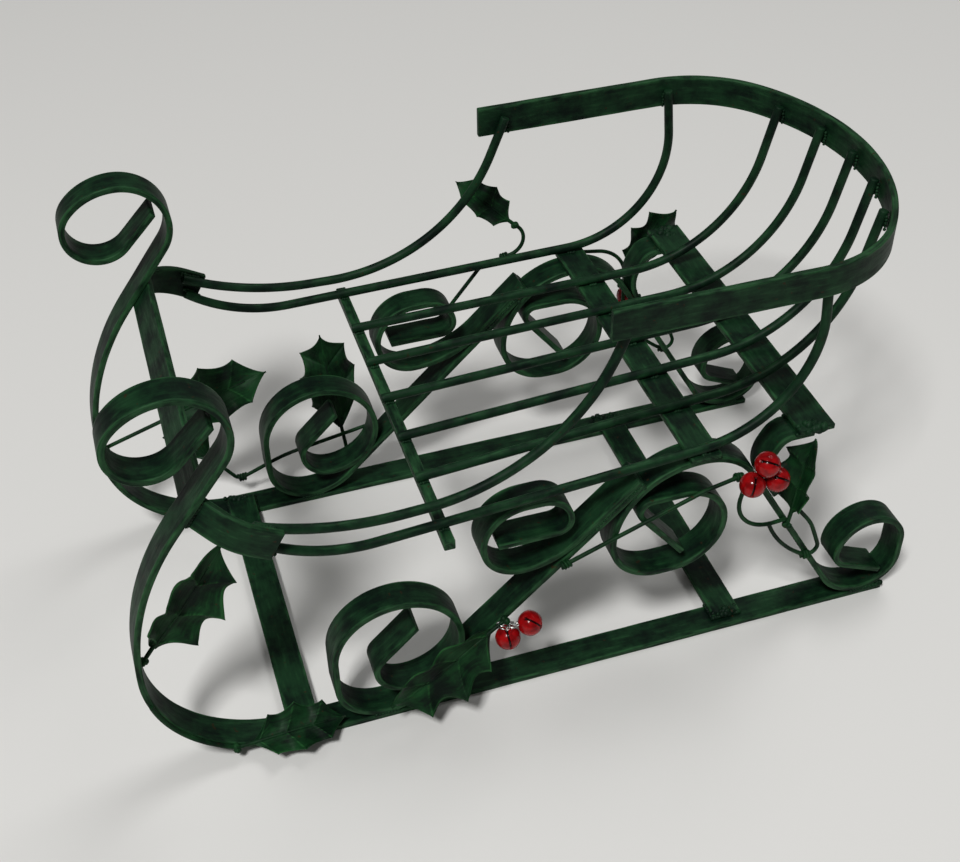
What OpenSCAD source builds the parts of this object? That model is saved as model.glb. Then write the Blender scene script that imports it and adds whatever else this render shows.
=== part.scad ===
// Tabletop ornamental sleigh, welded from flat bar and round rod.
// Millimetres, +X forward, +Y to the sleigh's left, +Z up, soles on Z = 0.

/* [Stock] */
// Width of the flat bar that most pieces are bent from
bar_w = 15.9; // [12:0.1:20]
// Thickness of the flat bar
bar_t = 3.2; // [2:0.1:4.5]
// Width of the wider bar used for the rear seat crossbar
rear_bar_w = 19; // [15:0.5:24]
// Diameter of the round rod
rod_d = 4.8; // [3:0.1:6]
// Side of the square bar under the front ends of the slats
square_bar_w = 5.4; // [4:0.1:7]
// Gap left between welded pieces
weld_gap = 0.2; // [0.1:0.05:0.3]

/* [Runners] */
// Distance between the middles of the two runners
track = 171; // [150:1:200]
// Flat length of a runner from its rear end to the start of the nose
runner_flat = 331; // [300:1:360]
// Radius of the nose bend
nose_r = 68; // [55:1:80]
// Radius of the long shin above the nose
shin_r = 148; // [130:1:170]
// Angle through which the shin leans back
shin_turn = 37; // [30:1:42]
// Straight neck between shin and curl
neck_len = 41; // [36:1:50]
// First radius of the curl at the top of a runner
curl_rear_r = 24; // [20:0.5:28]
// Second radius of the curl, over the front
curl_top_r = 32; // [28:0.5:36]
// Third radius of the curl, round the front and below
curl_front_r = 17; // [14:0.5:19]
// Straight tail inside the curl
curl_tail = 23; // [15:1:25]

/* [Crossbars] */
// Length of the two crossbars on the runners
low_bar_len = 176; // [160:1:185]
// Place of the front low crossbar behind the start of the nose
low_front_back = 4; // [3:0.5:20]
// Distance between the two low crossbars
low_bar_spacing = 234.5; // [215:0.5:250]
// Length of the crossbar at the necks of the runners
neck_bar_len = 170; // [150:1:172]
// Place of that crossbar along the neck
neck_bar_up = 12; // [10:0.5:20]
// Length of the two seat crossbars
seat_bar_len = 190; // [186:1:200]
// Place of the front seat crossbar behind the front low crossbar
seat_front_back = 207.7; // [200:0.5:215]
// Distance between the two seat crossbars
seat_bar_spacing = 58.6; // [52:0.5:64]

/* [Side scrolls] */
// Height of the middle of the S scroll where it carries the seat
arch_top = 128.5; // [120:0.5:136]
// Radius of the arch in front of the seat crossbar
arch_r = 43; // [38:0.5:48]
// Radius of the bend behind the seat crossbar
arch_rear_r = 32; // [26:0.5:36]
// Angle of the S scroll's descent below the level
descent_turn = 60; // [55:1:65]
// Front and rear radius at the foot of the arch's ring
ring_r = 27; // [24:0.5:30]
// Flat between those two radii
ring_flat = 6; // [3:0.5:10]
// Radius at the rear top of the ring
ring_top_r = 23.5; // [21:0.5:26]
// Straight along the top of the ring
ring_top_flat = 17; // [12:0.5:19]
// Tight bend inside the ring
ring_bend_r = 6; // [5:0.5:8]
// Angle of that bend
ring_bend_turn = 128; // [120:1:135]
// Straight tail inside the ring
ring_tail = 38; // [25:1:42]
// Radius of the bend where the descent meets the runner
heel_r = 28; // [22:0.5:34]
// Radius of the heel curl
heel_curl_r = 19.5; // [17:0.5:22]
// Straight up the back of the heel curl
heel_back = 11; // [6:0.5:14]
// Radius of the last bend of the heel curl
heel_bend_r = 10; // [8:0.5:12]
// Angle of the last bend of the heel curl
heel_bend_turn = 65; // [55:1:75]
// Straight tail inside the heel curl
heel_tail = 26; // [18:1:28]
// Bend from the front scroll's rest up into the brace
brace_bend_r = 32; // [26:0.5:38]
// Slope of the brace
brace_turn = 44; // [41:0.5:46]
// How far the brace runs on past its weld on the arch
brace_lap = 5; // [2:0.5:9]
// Front radius of the front scroll
front_scroll_toe_r = 24; // [21:0.5:27]
// Straight up the front of the front scroll
front_scroll_up = 18; // [14:0.5:22]
// Radius over the top of the front scroll
front_scroll_top_r = 32.4; // [30:0.2:35]
// Radius inside, at the bottom rear
front_scroll_low_r = 28; // [26:0.5:29]
// Radius inside, at the front
front_scroll_in_r = 16.5; // [14:0.5:18]
// Last bend inside the front scroll
front_scroll_end_r = 9; // [7:0.5:11]
// Straight tail inside the front scroll
front_scroll_tail = 27; // [18:1:30]
// Lowest place of the left upper scroll, behind the front low crossbar
upper_scroll_left_back = 116; // [112:0.5:119]
// Lowest place of the right upper scroll, behind the front low crossbar
upper_scroll_right_back = 109; // [106:0.5:112]
// Height of the lowest place of the upper scrolls
upper_scroll_low = 83.6; // [81:0.2:86]
// Radius at the front foot of an upper scroll
upper_scroll_toe_r = 20.4; // [18:0.2:22]
// Radius at the front top of an upper scroll
upper_scroll_top_r = 21.5; // [19:0.5:23]
// Straight along the top of an upper scroll
upper_scroll_flat = 8; // [4:0.5:11]
// Radius at the rear of an upper scroll
upper_scroll_rear_r = 15; // [13:0.5:16]
// Last bend of an upper scroll
upper_scroll_end_r = 7; // [6:0.5:8]
// Straight tail inside an upper scroll
upper_scroll_tail = 30; // [20:1:32]
// Place on the descent where the rear strut starts, along it
strut_start = 24; // [20:0.5:28]
// Straight of the rear strut along the descent
strut_foot = 10; // [8:0.5:12]
// Bend of the rear strut away from the descent
strut_r = 20; // [17:0.5:22]
// Angle of that bend
strut_turn = 60; // [55:1:65]
// Bend of the rear strut under the seat crossbar
strut_top_r = 9; // [7:0.5:12]

/* [Seat and basket] */
// Rise of the seat towards the rear
seat_slope = 2.1; // [0:0.1:4]
// Number of slats
slat_count = 5; // [3:2:7]
// Distance between slats at the square bar
slat_pitch = 31.3; // [26:0.1:33]
// Distance between slats at the rim
slat_top_pitch = 27; // [22:0.5:29]
// Place of the square bar behind the front low crossbar
square_bar_back = 75.5; // [70:0.5:82]
// Length of the square bar
square_bar_len = 212; // [204:1:216]
// Length of a slat in front of the square bar's middle
slat_lead = 4; // [3:0.5:8]
// Radius of the bend in the backs of the slats
slat_r = 78; // [70:1:86]
// Slope of the upper part of the slats' backs
slat_back_turn = 77; // [72:1:82]
// Height of the rim's top edge
rim_top = 231.5; // [225:0.5:238]
// Width over the rim's sides
rim_w = 192.6; // [188:0.2:200]
// Place of the rim's front ends behind the front low crossbar
rim_front_back = 154.3; // [146:0.5:162]
// Length of the rim's straight sides
rim_side = 99.7; // [90:0.5:106]
// Corner radius of the rim, at the middle of the bar
rim_corner_r = 62; // [56:1:68]
// Angle of the rim's corners
rim_corner_turn = 55; // [50:1:60]
// How far the rods end below the rim's top edge
rod_drop = 5.5; // [4:0.5:9]

/* [Side rods] */
// Height of the arm rods' front ends above the front seat crossbar's top
arm_rise = 25; // [22:0.5:28]
// Place of the rods' front ends ahead of the front low crossbar
rod_front = 10; // [6:0.5:14]
// Slope of the arm rods at their front ends
arm_front_turn = 27; // [22:0.5:32]
// Front radius of the arm rods
arm_front_r = 147; // [135:1:160]
// Rear radius of the arm rods
arm_rear_r = 100; // [92:1:108]
// Slope of the arm rods' uprights
arm_back_turn = 68; // [62:1:74]
// Place of the arm rods' tops behind the rim's front ends
arm_top_back = 14; // [10:0.5:20]
// Slope of the side rods at their front ends
side_front_turn = 40; // [36:1:42]
// Front radius of the side rods
side_front_r = 80; // [70:1:90]
// Rear radius of the side rods
side_rear_r = 60; // [55:1:66]
// Place of the side rods' tops behind the rim's front ends
side_top_back = 106.5; // [100:0.5:112]
// Lean of the side rods' tops past the upright
side_lean = 5; // [0:0.5:8]
// Slope of the tabs that carry the rods' front ends
tab_slope = 30; // [26:0.5:34]
// First straight of a tab
tab_foot = 12; // [9:0.5:16]
// Angle at which a tab leaves the runner, in plan
tab_turn = 40; // [34:1:46]
// Bend of a tab in plan
tab_r = 28; // [24:0.5:32]
// Straight rear end of a tab
tab_end = 10; // [7:0.5:14]

/* [Leaves, bells and wires] */
// Length of a large leaf's blade
leaf_len = 64; // [54:1:70]
// Width of a large leaf's blade
leaf_w = 38; // [30:1:44]
// Thickness of the leaf sheet
leaf_t = 1.2; // [0.8:0.1:1.6]
// Depth of the bays between a leaf's spines
leaf_bay = 4.4; // [3:0.1:5.5]
// Width of the tips of a leaf's spines
leaf_spine = 1.2; // [0.8:0.1:2]
// Fold of a leaf's halves along the midrib
leaf_fold = 28; // [14:1:34]
// Size of the small leaves against the large ones
leaf_small_share = 0.75; // [0.65:0.05:0.85]
// Size of the two least leaves as a share of a large one
leaf_least_share = 0.6; // [0.5:0.05:0.8]
// Diameter of the stems and vine wires
wire_d = 2.2; // [1.6:0.1:2.6]
// Stem between a carrier and a blade
stem_len = 8; // [6:0.5:12]
// Long stem of the leaf on the right shin
stem_long = 35; // [30:1:40]
// Diameter of the bells
bell_d = 13; // [10:0.5:15]
// Wall of the bells
bell_t = 0.7; // [0.5:0.1:1]
// Width of the slit in a bell
bell_slit = 1.1; // [0.8:0.1:1.6]

/* [Hidden] */
$fn = 48;
paint = [0.10, 0.20, 0.15];
leaf_paint = [0.12, 0.26, 0.17];
red = [0.75, 0.06, 0.06];
cut_over = 40;
// Run of a bent bar's rows over the ends of their neighbours, and how much thicker such rows are
lap = 0.3;
hair = 0.03;
left = 1;
right = -1;

// Path rows are [straight length, bend radius, turn]; a turn above zero goes left.
function go(p, row) = row[2] == 0
    ? [p[0] + row[0] * cos(p[2]), p[1] + row[0] * sin(p[2]), p[2]]
    : let (s = sign(row[2]), h = p[2] + row[2])
      [p[0] + s * row[1] * (sin(h) - sin(p[2])), p[1] - s * row[1] * (cos(h) - cos(p[2])), h];
function stops(rows, start) = [for (i = 0, p = start; i <= len(rows);
    p = i < len(rows) ? go(p, rows[i]) : p, i = i + 1) p];
function path_end(rows, start) = stops(rows, start)[len(rows)];

// Levels, from the runner soles up
rod_r = rod_d / 2;
sole_mid = bar_t / 2;
rest_mid = bar_t + weld_gap + bar_t / 2;
seat_bar_low = arch_top + bar_t / 2 + weld_gap;
seat_bar_top = seat_bar_low + bar_t;
low_front_x = -low_front_back;
seat_front_x = low_front_x - seat_front_back;
seat_rear_x = seat_front_x - seat_bar_spacing;
square_bar_x = low_front_x - square_bar_back;
// Height of the slats' middles at a place along the seat
function slat_z(x) = seat_bar_top + weld_gap + rod_r / cos(seat_slope)
    + (seat_front_x + bar_w / 2 - x) * tan(seat_slope);
rear_bar_top = slat_z(seat_rear_x + rear_bar_w / 2) - rod_r / cos(seat_slope) - weld_gap;
square_bar_top = slat_z(square_bar_x + square_bar_w / 2) - rod_r / cos(seat_slope) - weld_gap;

// Runner path, from its rear end forward
nose_turn = 90;
curl_top_turn = 48;
curl_front_turn = 178;
runner_rows = [[runner_flat, 0, 0], [0, nose_r, nose_turn], [0, shin_r, shin_turn], [neck_len, 0, 0],
    [0, curl_rear_r, -(nose_turn + shin_turn)], [0, curl_top_r, -curl_top_turn],
    [0, curl_front_r, -curl_front_turn], [curl_tail, 0, 0]];
runner_start = [-runner_flat, sole_mid, 0];
neck = stops(runner_rows, runner_start)[3];
neck_h = neck[2];

// S scroll, forward and rearward from the middle of its arch
arch_flat = 2;
s_start = [seat_front_x, arch_top, 0];
s_back_start = [seat_front_x, arch_top, 180];
ring_rows = [[arch_flat, 0, 0], [0, arch_r, -90], [0, ring_r, -90], [ring_flat, 0, 0],
    [0, ring_r, -90], [0, ring_top_r, -90], [ring_top_flat, 0, 0],
    [0, ring_bend_r, -ring_bend_turn], [ring_tail, 0, 0]];
descent = (arch_top - rest_mid - (arch_rear_r + heel_r) * (1 - cos(descent_turn))) / sin(descent_turn);
heel_rows = [[0, arch_rear_r, descent_turn], [descent, 0, 0], [0, heel_r, -descent_turn],
    [0, heel_curl_r, -90], [heel_back, 0, 0], [0, heel_curl_r, -90],
    [0, heel_curl_r, -90], [0, heel_bend_r, -heel_bend_turn], [heel_tail, 0, 0]];
arch_mid = [seat_front_x + arch_flat, arch_top - arch_r];
descent_top = stops(heel_rows, s_back_start)[1];

// Brace with the front scroll; it rests on the runner and its straight lies on the arch
arch_out = arch_r + bar_t + weld_gap;
brace_foot_up = brace_bend_r * (1 - cos(brace_turn));
brace_x = arch_mid[0] + brace_bend_r * sin(brace_turn)
    + (arch_out - (rest_mid + brace_foot_up - arch_mid[1]) * cos(brace_turn)) / sin(brace_turn);
brace_start = [brace_x, rest_mid, 0];
brace_back_start = [brace_x, rest_mid, 180];
front_scroll_rows = [[0, front_scroll_toe_r, 90], [front_scroll_up, 0, 0],
    [0, front_scroll_top_r, 180], [0, front_scroll_low_r, 90], [0, front_scroll_in_r, 90],
    [0, front_scroll_end_r, 90 / 2], [front_scroll_tail, 0, 0]];
brace_foot = go(brace_back_start, [0, brace_bend_r, -brace_turn]);
// Distance along the brace from the top of its lower bend
function brace_along(p) = (brace_foot[0] - p[0]) * cos(brace_turn) + (p[1] - brace_foot[1]) * sin(brace_turn);
brace_len = brace_along(arch_mid) + brace_lap;
brace_rows = [[0, brace_bend_r, -brace_turn], [brace_len, 0, 0]];

// Upper scroll, forward and rearward from its lowest place, its straight lying on the brace
upper_scroll_rows = [[0, upper_scroll_toe_r, 90], [0, upper_scroll_top_r, 90],
    [upper_scroll_flat, 0, 0], [0, upper_scroll_rear_r, 90], [0, upper_scroll_end_r, 90],
    [upper_scroll_tail, 0, 0]];
function upper_x(side) = low_front_x - (side == left ? upper_scroll_left_back : upper_scroll_right_back);
function upper_bend_r(side) = ((upper_x(side) - brace_foot[0]) * sin(brace_turn)
    + (upper_scroll_low - brace_foot[1]) * cos(brace_turn) - bar_t - weld_gap) / (1 - cos(brace_turn));
function upper_back_start(side) = [upper_x(side), upper_scroll_low, 180];
function upper_back_rows(side) = let (row = [0, upper_bend_r(side), -brace_turn])
    [row, [brace_len - brace_along(go(upper_back_start(side), row)), 0, 0]];

// Rear strut, from its foot on the descent to the rear seat crossbar
strut_h = 180 + descent_turn;
strut_p = [descent_top[0] + strut_start * cos(strut_h) - (bar_t + weld_gap) * sin(descent_turn),
    descent_top[1] + strut_start * sin(strut_h) + (bar_t + weld_gap) * cos(descent_turn), descent_turn];
strut_bend_end = path_end([[strut_foot, 0, 0], [0, strut_r, strut_turn]], strut_p);
strut_top_mid = rear_bar_top - bar_t - weld_gap - bar_t / 2;
strut_rest_turn = 180 - strut_bend_end[2];
strut_up = (strut_top_mid - strut_bend_end[1] - strut_top_r * (cos(strut_bend_end[2]) + 1))
    / sin(strut_bend_end[2]);
strut_top_x = path_end([[strut_up, 0, 0], [0, strut_top_r, strut_rest_turn]], strut_bend_end)[0];
strut_rows = [[strut_foot, 0, 0], [0, strut_r, strut_turn], [strut_up, 0, 0],
    [0, strut_top_r, strut_rest_turn], [strut_top_x - seat_rear_x, 0, 0]];

// Rim in plan, half of it, from the middle of the back to a front end
rim_mid_y = rim_w / 2 - bar_t / 2;
rim_front_x = low_front_x - rim_front_back;
rim_back_r = (rim_mid_y - rim_corner_r * (1 - cos(rim_corner_turn))) / cos(rim_corner_turn);
rim_half_rows = [[0, rim_back_r, rim_corner_turn - 90], [0, rim_corner_r, -rim_corner_turn],
    [rim_side, 0, 0]];
rim_back_mid_x = rim_front_x - rim_side - rim_corner_r * sin(rim_corner_turn)
    + rim_back_r * sin(rim_corner_turn);
rim_back_x = rim_back_mid_x - rim_back_r;

// Tabs, bent in plan, sloped down to the rear and square against the backs of the necks
tab_out_h = 180 - tab_turn;
tab_over = bar_w / 2;
tab_rows = [[tab_over + tab_foot, 0, 0], [0, tab_r, tab_turn], [tab_end, 0, 0]];
tab_start = [-tab_over * cos(tab_out_h), -tab_over * sin(tab_out_h), tab_out_h];
tab_y = track / 2 + bar_t;
neck_place = [neck[0] + neck_bar_up * cos(neck_h), neck[1] + neck_bar_up * sin(neck_h)];
neck_back = bar_t / 2 + weld_gap;
tab_place = [neck_place[0] - neck_back * sin(neck_h), neck_place[1] + neck_back * cos(neck_h)];
tab_end_y = tab_y + path_end(tab_rows, tab_start)[1];

// Rods are bent in upright planes, each from a front place to a place on the rim's inside.
rod_front_x = low_front_x + rod_front;
rod_front_y = tab_end_y - bar_t / 2 - weld_gap - rod_r;
rod_seat_y = rim_w / 2 - bar_t - weld_gap - rod_r;
rod_top = rim_top - rod_drop;
// Lengths of the two straights beside a bend from slope a to slope b, for a run and a rise
function legs(run, rise, r, a, b) = let (x = run - r * (sin(b) - sin(a)), z = rise - r * (cos(a) - cos(b)))
    [(x * sin(b) - z * cos(b)) / sin(b - a), (z * cos(a) - x * sin(a)) / sin(b - a)];

arm_place = [rim_front_x - arm_top_back, rod_seat_y];
arm_z = seat_bar_top + arm_rise;
arm_run = norm([rod_front_x - arm_place[0], rod_front_y - arm_place[1]]);
arm_legs = legs(arm_run - arm_front_r * sin(arm_front_turn),
    rod_top - arm_z + arm_front_r * (1 - cos(arm_front_turn)), arm_rear_r, 0, arm_back_turn);
arm_rows = [[0, arm_front_r, arm_front_turn], [arm_legs[0], 0, 0], [0, arm_rear_r, arm_back_turn],
    [arm_legs[1], 0, 0]];

side_corner = max(0, side_top_back - rim_side);
side_place = [rim_front_x - side_top_back, rim_mid_y - rim_corner_r
    + sqrt(pow(rim_corner_r - rim_mid_y + rod_seat_y, 2) - pow(side_corner, 2))];
side_back_turn = 90 + side_lean;
side_run = norm([rod_front_x - side_place[0], rod_front_y - side_place[1]]);
side_front_run = side_front_r * (sin(seat_slope) + sin(side_front_turn));
side_front_drop = side_front_r * (cos(seat_slope) - cos(side_front_turn));
side_low_z = slat_z(rod_front_x - side_front_run);
side_legs = legs(side_run - side_front_run, rod_top - side_low_z, side_rear_r, seat_slope, side_back_turn);
side_rows = [[0, side_front_r, side_front_turn + seat_slope], [side_legs[0], 0, 0],
    [0, side_rear_r, side_back_turn - seat_slope], [side_legs[1], 0, 0]];

slat_front_x = square_bar_x + slat_lead;
slat_seat_r = rim_back_r - bar_t / 2 - weld_gap - rod_r;
slat_mid = (slat_count - 1) / 2;

// A section bent through a turn, starting at the origin along X, with a run-over at both ends
module bend(r, turn, over) {
    over_turn = over / r * 180 / PI;
    if (turn < 0) mirror([0, 1, 0]) bend(r, -turn, over) children();
    else translate([0, r, 0]) rotate([0, 0, -90 - over_turn])
        rotate_extrude(angle = turn + 2 * over_turn) translate([r, 0]) children();
}

// Carries what follows on to the end of a row of a path
module after(row) {
    if (row[2] == 0) translate([row[0], 0, 0]) children();
    else translate([0, sign(row[2]) * row[1], 0]) rotate([0, 0, row[2]])
        translate([0, -sign(row[2]) * row[1], 0]) children();
}

// Flat bar bent along a path in the XY plane, its width along Z.
// Every other row is a hair thicker and runs over the ends of its neighbours, so that all of them join.
module bar_rows(rows, i, thick) {
    more = thick ? hair : 0;
    over = thick ? lap : 0;
    if (i < len(rows)) {
        if (rows[i][2] == 0) translate([-over, -bar_t / 2 - more, -bar_w / 2 - more])
            cube([rows[i][0] + 2 * over, bar_t + 2 * more, bar_w + 2 * more]);
        else bend(rows[i][1], rows[i][2], over) square([bar_t + 2 * more, bar_w + 2 * more], center = true);
        after(rows[i]) bar_rows(rows, i + 1, !thick);
    }
}

module bent_bar(rows, start, thick = true) {
    translate([start[0], start[1], 0]) rotate([0, 0, start[2]]) bar_rows(rows, 0, thick);
}

// The same in a side plane of the sleigh
module side_bar(side, rows, start, thick = true) {
    translate([0, side * track / 2, 0]) rotate([90, 0, 0]) bent_bar(rows, start, thick);
}

// Round bar bent along a path in the XY plane, joined in the same way
module rod_rows(rows, r, i, thick) {
    more = thick ? hair : 0;
    over = thick ? lap : 0;
    if (i < len(rows)) {
        if (rows[i][2] == 0) translate([-over, 0, 0]) rotate([0, 90, 0])
            cylinder(r = r + more, h = rows[i][0] + 2 * over);
        else bend(rows[i][1], rows[i][2], over) circle(r = r + more);
        after(rows[i]) rod_rows(rows, r, i + 1, !thick);
    }
}

// Rod bent along a path in the upright plane from one place to another
module bent_rod(from, z, to, rows, slope) {
    translate([from[0], from[1], z]) rotate([0, 0, atan2(to[1] - from[1], to[0] - from[0])])
        rotate([90, 0, 0]) rotate([0, 0, slope]) rod_rows(rows, rod_r, 0, true);
}

// Flat bar across the sleigh
module crossbar(x, low, w, length) {
    translate([x - w / 2, -length / 2, low]) cube([w, length, bar_t]);
}

// A piece of the left side, or its mirror image
module on_side(side) {
    if (side == right) mirror([0, 1, 0]) children();
    else children();
}

module runner(side) {
    color(paint) side_bar(side, runner_rows, runner_start);
}

module low_crossbar(x) {
    color(paint) crossbar(x, bar_t + weld_gap, bar_w, low_bar_len);
}

module neck_crossbar() {
    color(paint) translate([neck_place[0], 0, neck_place[1]]) rotate([0, -neck_h, 0])
        translate([-bar_w / 2, -neck_bar_len / 2, neck_back]) cube([bar_w, neck_bar_len, bar_t]);
}

module seat_crossbar_front() {
    color(paint) crossbar(seat_front_x, seat_bar_low, bar_w, seat_bar_len);
}

module seat_crossbar_rear() {
    color(paint) crossbar(seat_rear_x, rear_bar_top - bar_t, rear_bar_w, seat_bar_len);
}

module square_bar() {
    color(paint) translate([square_bar_x - square_bar_w / 2, -square_bar_len / 2, square_bar_top - square_bar_w])
        cube([square_bar_w, square_bar_len, square_bar_w]);
}

module slat(number) {
    step = number - 1 - slat_mid;
    from = [slat_front_x, -step * slat_pitch];
    top_y = -step * slat_top_pitch;
    to = [rim_back_mid_x - sqrt(pow(slat_seat_r, 2) - pow(top_y, 2)), top_y];
    leg = legs(norm(from - to), rod_top - slat_z(slat_front_x), slat_r, seat_slope, slat_back_turn);
    color(paint) bent_rod(from, slat_z(slat_front_x), to,
        [[leg[0], 0, 0], [0, slat_r, slat_back_turn - seat_slope], [leg[1], 0, 0]], seat_slope);
}

module side_rod(side) {
    color(paint) on_side(side) bent_rod([rod_front_x, rod_front_y], side_low_z + side_front_drop, side_place,
        side_rows, -side_front_turn);
}

module arm_rod(side) {
    color(paint) on_side(side) bent_rod([rod_front_x, rod_front_y], arm_z, arm_place, arm_rows, -arm_front_turn);
}

module rim() {
    color(paint) translate([0, 0, rim_top - bar_w / 2]) for (side = [left, right])
        on_side(side) bent_bar(rim_half_rows, [rim_back_x, 0, 90], side == left);
}

module tab(side) {
    color(paint) on_side(side) difference() {
        translate([tab_place[0], tab_y, tab_place[1]]) rotate([0, -tab_slope, 0])
            bent_bar(tab_rows, tab_start);
        translate([neck_place[0], 0, neck_place[1]]) rotate([0, -neck_h, 0])
            translate([-cut_over, 0, neck_back - cut_over]) cube([2 * cut_over, track, cut_over]);
    }
}

module brace_scroll(side) {
    color(paint) {
        side_bar(side, front_scroll_rows, brace_start);
        side_bar(side, brace_rows, brace_back_start, false);
    }
}

module upper_scroll(side) {
    color(paint) {
        side_bar(side, upper_scroll_rows, [upper_x(side), upper_scroll_low, 0]);
        side_bar(side, upper_back_rows(side), upper_back_start(side), false);
    }
}

module s_scroll(side) {
    color(paint) {
        side_bar(side, ring_rows, s_start);
        side_bar(side, heel_rows, s_back_start, false);
    }
}

module rear_strut(side) {
    color(paint) side_bar(side, strut_rows, strut_p);
}

// Wires lie against the outer edges of the side frames, in a plane of their own.
wire_r = wire_d / 2;
skin = bar_w / 2 + weld_gap + wire_r;
wire_y = track / 2 + skin;
bell_r = bell_d / 2;

// Points of the side frame that carry leaves, wires and bells, each at a share of its bar
function on_brace(share) = go(brace_foot, [share * brace_len, 0, 0]);
function on_descent(share) = go(descent_top, [share * descent, 0, 0]);
function on_nose(share) = go([0, bar_t / 2, 0], [0, nose_r, share * nose_turn]);
function on_shin(share) = go(on_nose(1), [0, shin_r, share * shin_turn]);
// The same point moved off the bar's inner face by a stem's radius
function off_face(p) = [p[0] - (bar_t / 2 + weld_gap + wire_r) * sin(p[2]),
    p[1] + (bar_t / 2 + weld_gap + wire_r) * cos(p[2])];
function wire_rows(shares, size) = [for (s = shares) [s[0] * size, s[1] * size, s[2]]];

// Wires as shares of the arch radius: straight, bend radius, turn
vine_shares = [[1.74, 0, 0], [0, 1.4, 8], [0.28, 0, 0], [0, 0.11, 113], [0.23, 0, 0], [0, 0.46, -105], [0.04, 0, 0]];
loop_shares = [[0.02, 0, 0], [0, 1.4, -29], [0.09, 0, 0], [0, 0.12, -147], [0.28, 0, 0], [0, 0.93, -16], [0.14, 0, 0]];
loop_ahead_share = 0.22;
foot_shares = [[1.16, 0, 0], [0, 1.86, -12], [0.42, 0, 0], [0, 0.12, 77], [0.3, 0, 0]];
arm_shares = [[0.07, 0, 0], [0, 0.24, -130], [0.02, 0, 0]];
arc_shares = [[0.93, 0, 0], [0, 0.23, 52], [0.47, 0, 0], [0, 3.5, 9], [0.53, 0, 0], [0, 0.49, 80], [0.51, 0, 0]];
arc_back_share = 0.96;
arc_drop_share = 0.86;

// Bent wire against the outer edges of one side
module side_wire(side, y, p, heading, rows) {
    color(leaf_paint) on_side(side) translate([p[0], y, p[1]]) rotate([90, 0, 0]) rotate([0, 0, heading])
        rod_rows(rows, wire_r, 0, true);
}

module vine_left() {
    side_wire(left, wire_y, on_brace(0.63), 159, wire_rows(vine_shares, arch_r));
}

module vine_loop(side) {
    p = on_descent(0.423);
    side_wire(side, wire_y, [p[0] + loop_ahead_share * arch_r, p[1]], 246, wire_rows(loop_shares, arch_r));
}

// Wire round the left nose, along its outer edge, up to the stem of the leaf there
nose_leaf_share = 0.3;
nose_wire_share = 0.36;
module vine_foot_left() {
    p = on_nose(0.86);
    side_wire(left, wire_y, p, p[2] + 180, [[0, nose_r, (nose_wire_share - 0.86) * nose_turn],
        [nose_r * tan((nose_wire_share - nose_leaf_share) * nose_turn) - lap - 2 * weld_gap, 0, 0]]);
}

module vine_foot_right() {
    side_wire(right, wire_y, on_brace(0.2), -10, wire_rows(foot_shares, arch_r));
}

// Wires that lean on the outside of the right side rod: one carries a leaf, one runs back to the bells
arm_wire_x = square_bar_x - 2 * arch_r - bar_w / 2;
arm_wire_y = rod_front_y - (rod_front_y - side_place[1]) * (rod_front_x - arm_wire_x)
    / (rod_front_x - side_place[0]) + rod_r + weld_gap + wire_r;
arm_wire_start = [arm_wire_x, slat_z(arm_wire_x), 170];
module vine_arm_right() {
    side_wire(right, arm_wire_y, arm_wire_start, arm_wire_start[2], wire_rows(arm_shares, arch_r));
}

arc_wire_start = [arm_wire_x + arc_back_share * arch_r, arm_wire_start[1] - arc_drop_share * arch_r, 129];
arc_wire_end = path_end(wire_rows(arc_shares, arch_r), arc_wire_start);
module vine_right() {
    side_wire(right, arm_wire_y, arc_wire_start, arc_wire_start[2], wire_rows(arc_shares, arch_r));
}

// Holly blade: each half is a lens cut by bays, so that its edge ends in spines
leaf_bays = 4;
leaf_arc_r = (leaf_len * leaf_len / 4 + leaf_w * leaf_w / 4) / leaf_w;
leaf_arc_turn = asin(leaf_len / 2 / leaf_arc_r);
leaf_step = 2 * leaf_arc_turn / leaf_bays;
leaf_chord = leaf_arc_r * leaf_step * PI / 180 - leaf_spine;
leaf_bay_r = (leaf_chord * leaf_chord / 4 + leaf_bay * leaf_bay) / (2 * leaf_bay);
midrib_share = 0.88;
module leaf_half() {
    linear_extrude(height = leaf_t) difference() {
        intersection() {
            translate([leaf_len / 2, leaf_w / 2 - leaf_arc_r]) circle(r = leaf_arc_r);
            translate([0, -leaf_t / 2]) square([leaf_len, leaf_w]);
        }
        for (k = [0 : leaf_bays - 1]) translate([leaf_len / 2, leaf_w / 2 - leaf_arc_r])
            rotate((leaf_bays / 2 - 0.5 - k) * leaf_step)
                translate([0, leaf_arc_r + leaf_bay_r - leaf_bay]) circle(r = leaf_bay_r);
    }
}

// Leaf with its stem, from the stem's foot at the origin along X, its upper face towards Z
module leaf(size_share, stem) {
    color(leaf_paint) {
        rotate([0, 90, 0]) cylinder(r = wire_r, h = stem + midrib_share * leaf_len * size_share);
        translate([stem, 0, 0]) scale(size_share) for (m = [0, 1]) mirror([0, m, 0])
            rotate([leaf_fold, 0, 0]) leaf_half();
    }
}

// A leaf whose stem stands off the inner face of a bar, or off its outer edge
module leaf_at(side, p, y, turns, size_share, stem) {
    on_side(side) translate([p[0], y, p[1]]) rotate(turns) leaf(size_share, stem);
}

module leaf_shin_left() {
    leaf_at(left, off_face(on_shin(0.08)), track / 2, [97, -50, -174], 1, stem_len);
}

module leaf_foot_left() {
    leaf_at(left, on_nose(nose_leaf_share), wire_y, [27, -2, 181], leaf_small_share, stem_len);
}

brace_stem = on_brace(0.36);
brace_turns = [-78, 28, 10];
module leaf_brace_left() {
    leaf_at(left, brace_stem, wire_y, brace_turns, 1, stem_len);
}

module leaf_rear_left() {
    leaf_at(left, on_descent(0.43), wire_y, [13, -84, 180], leaf_small_share, stem_len);
}

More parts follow.
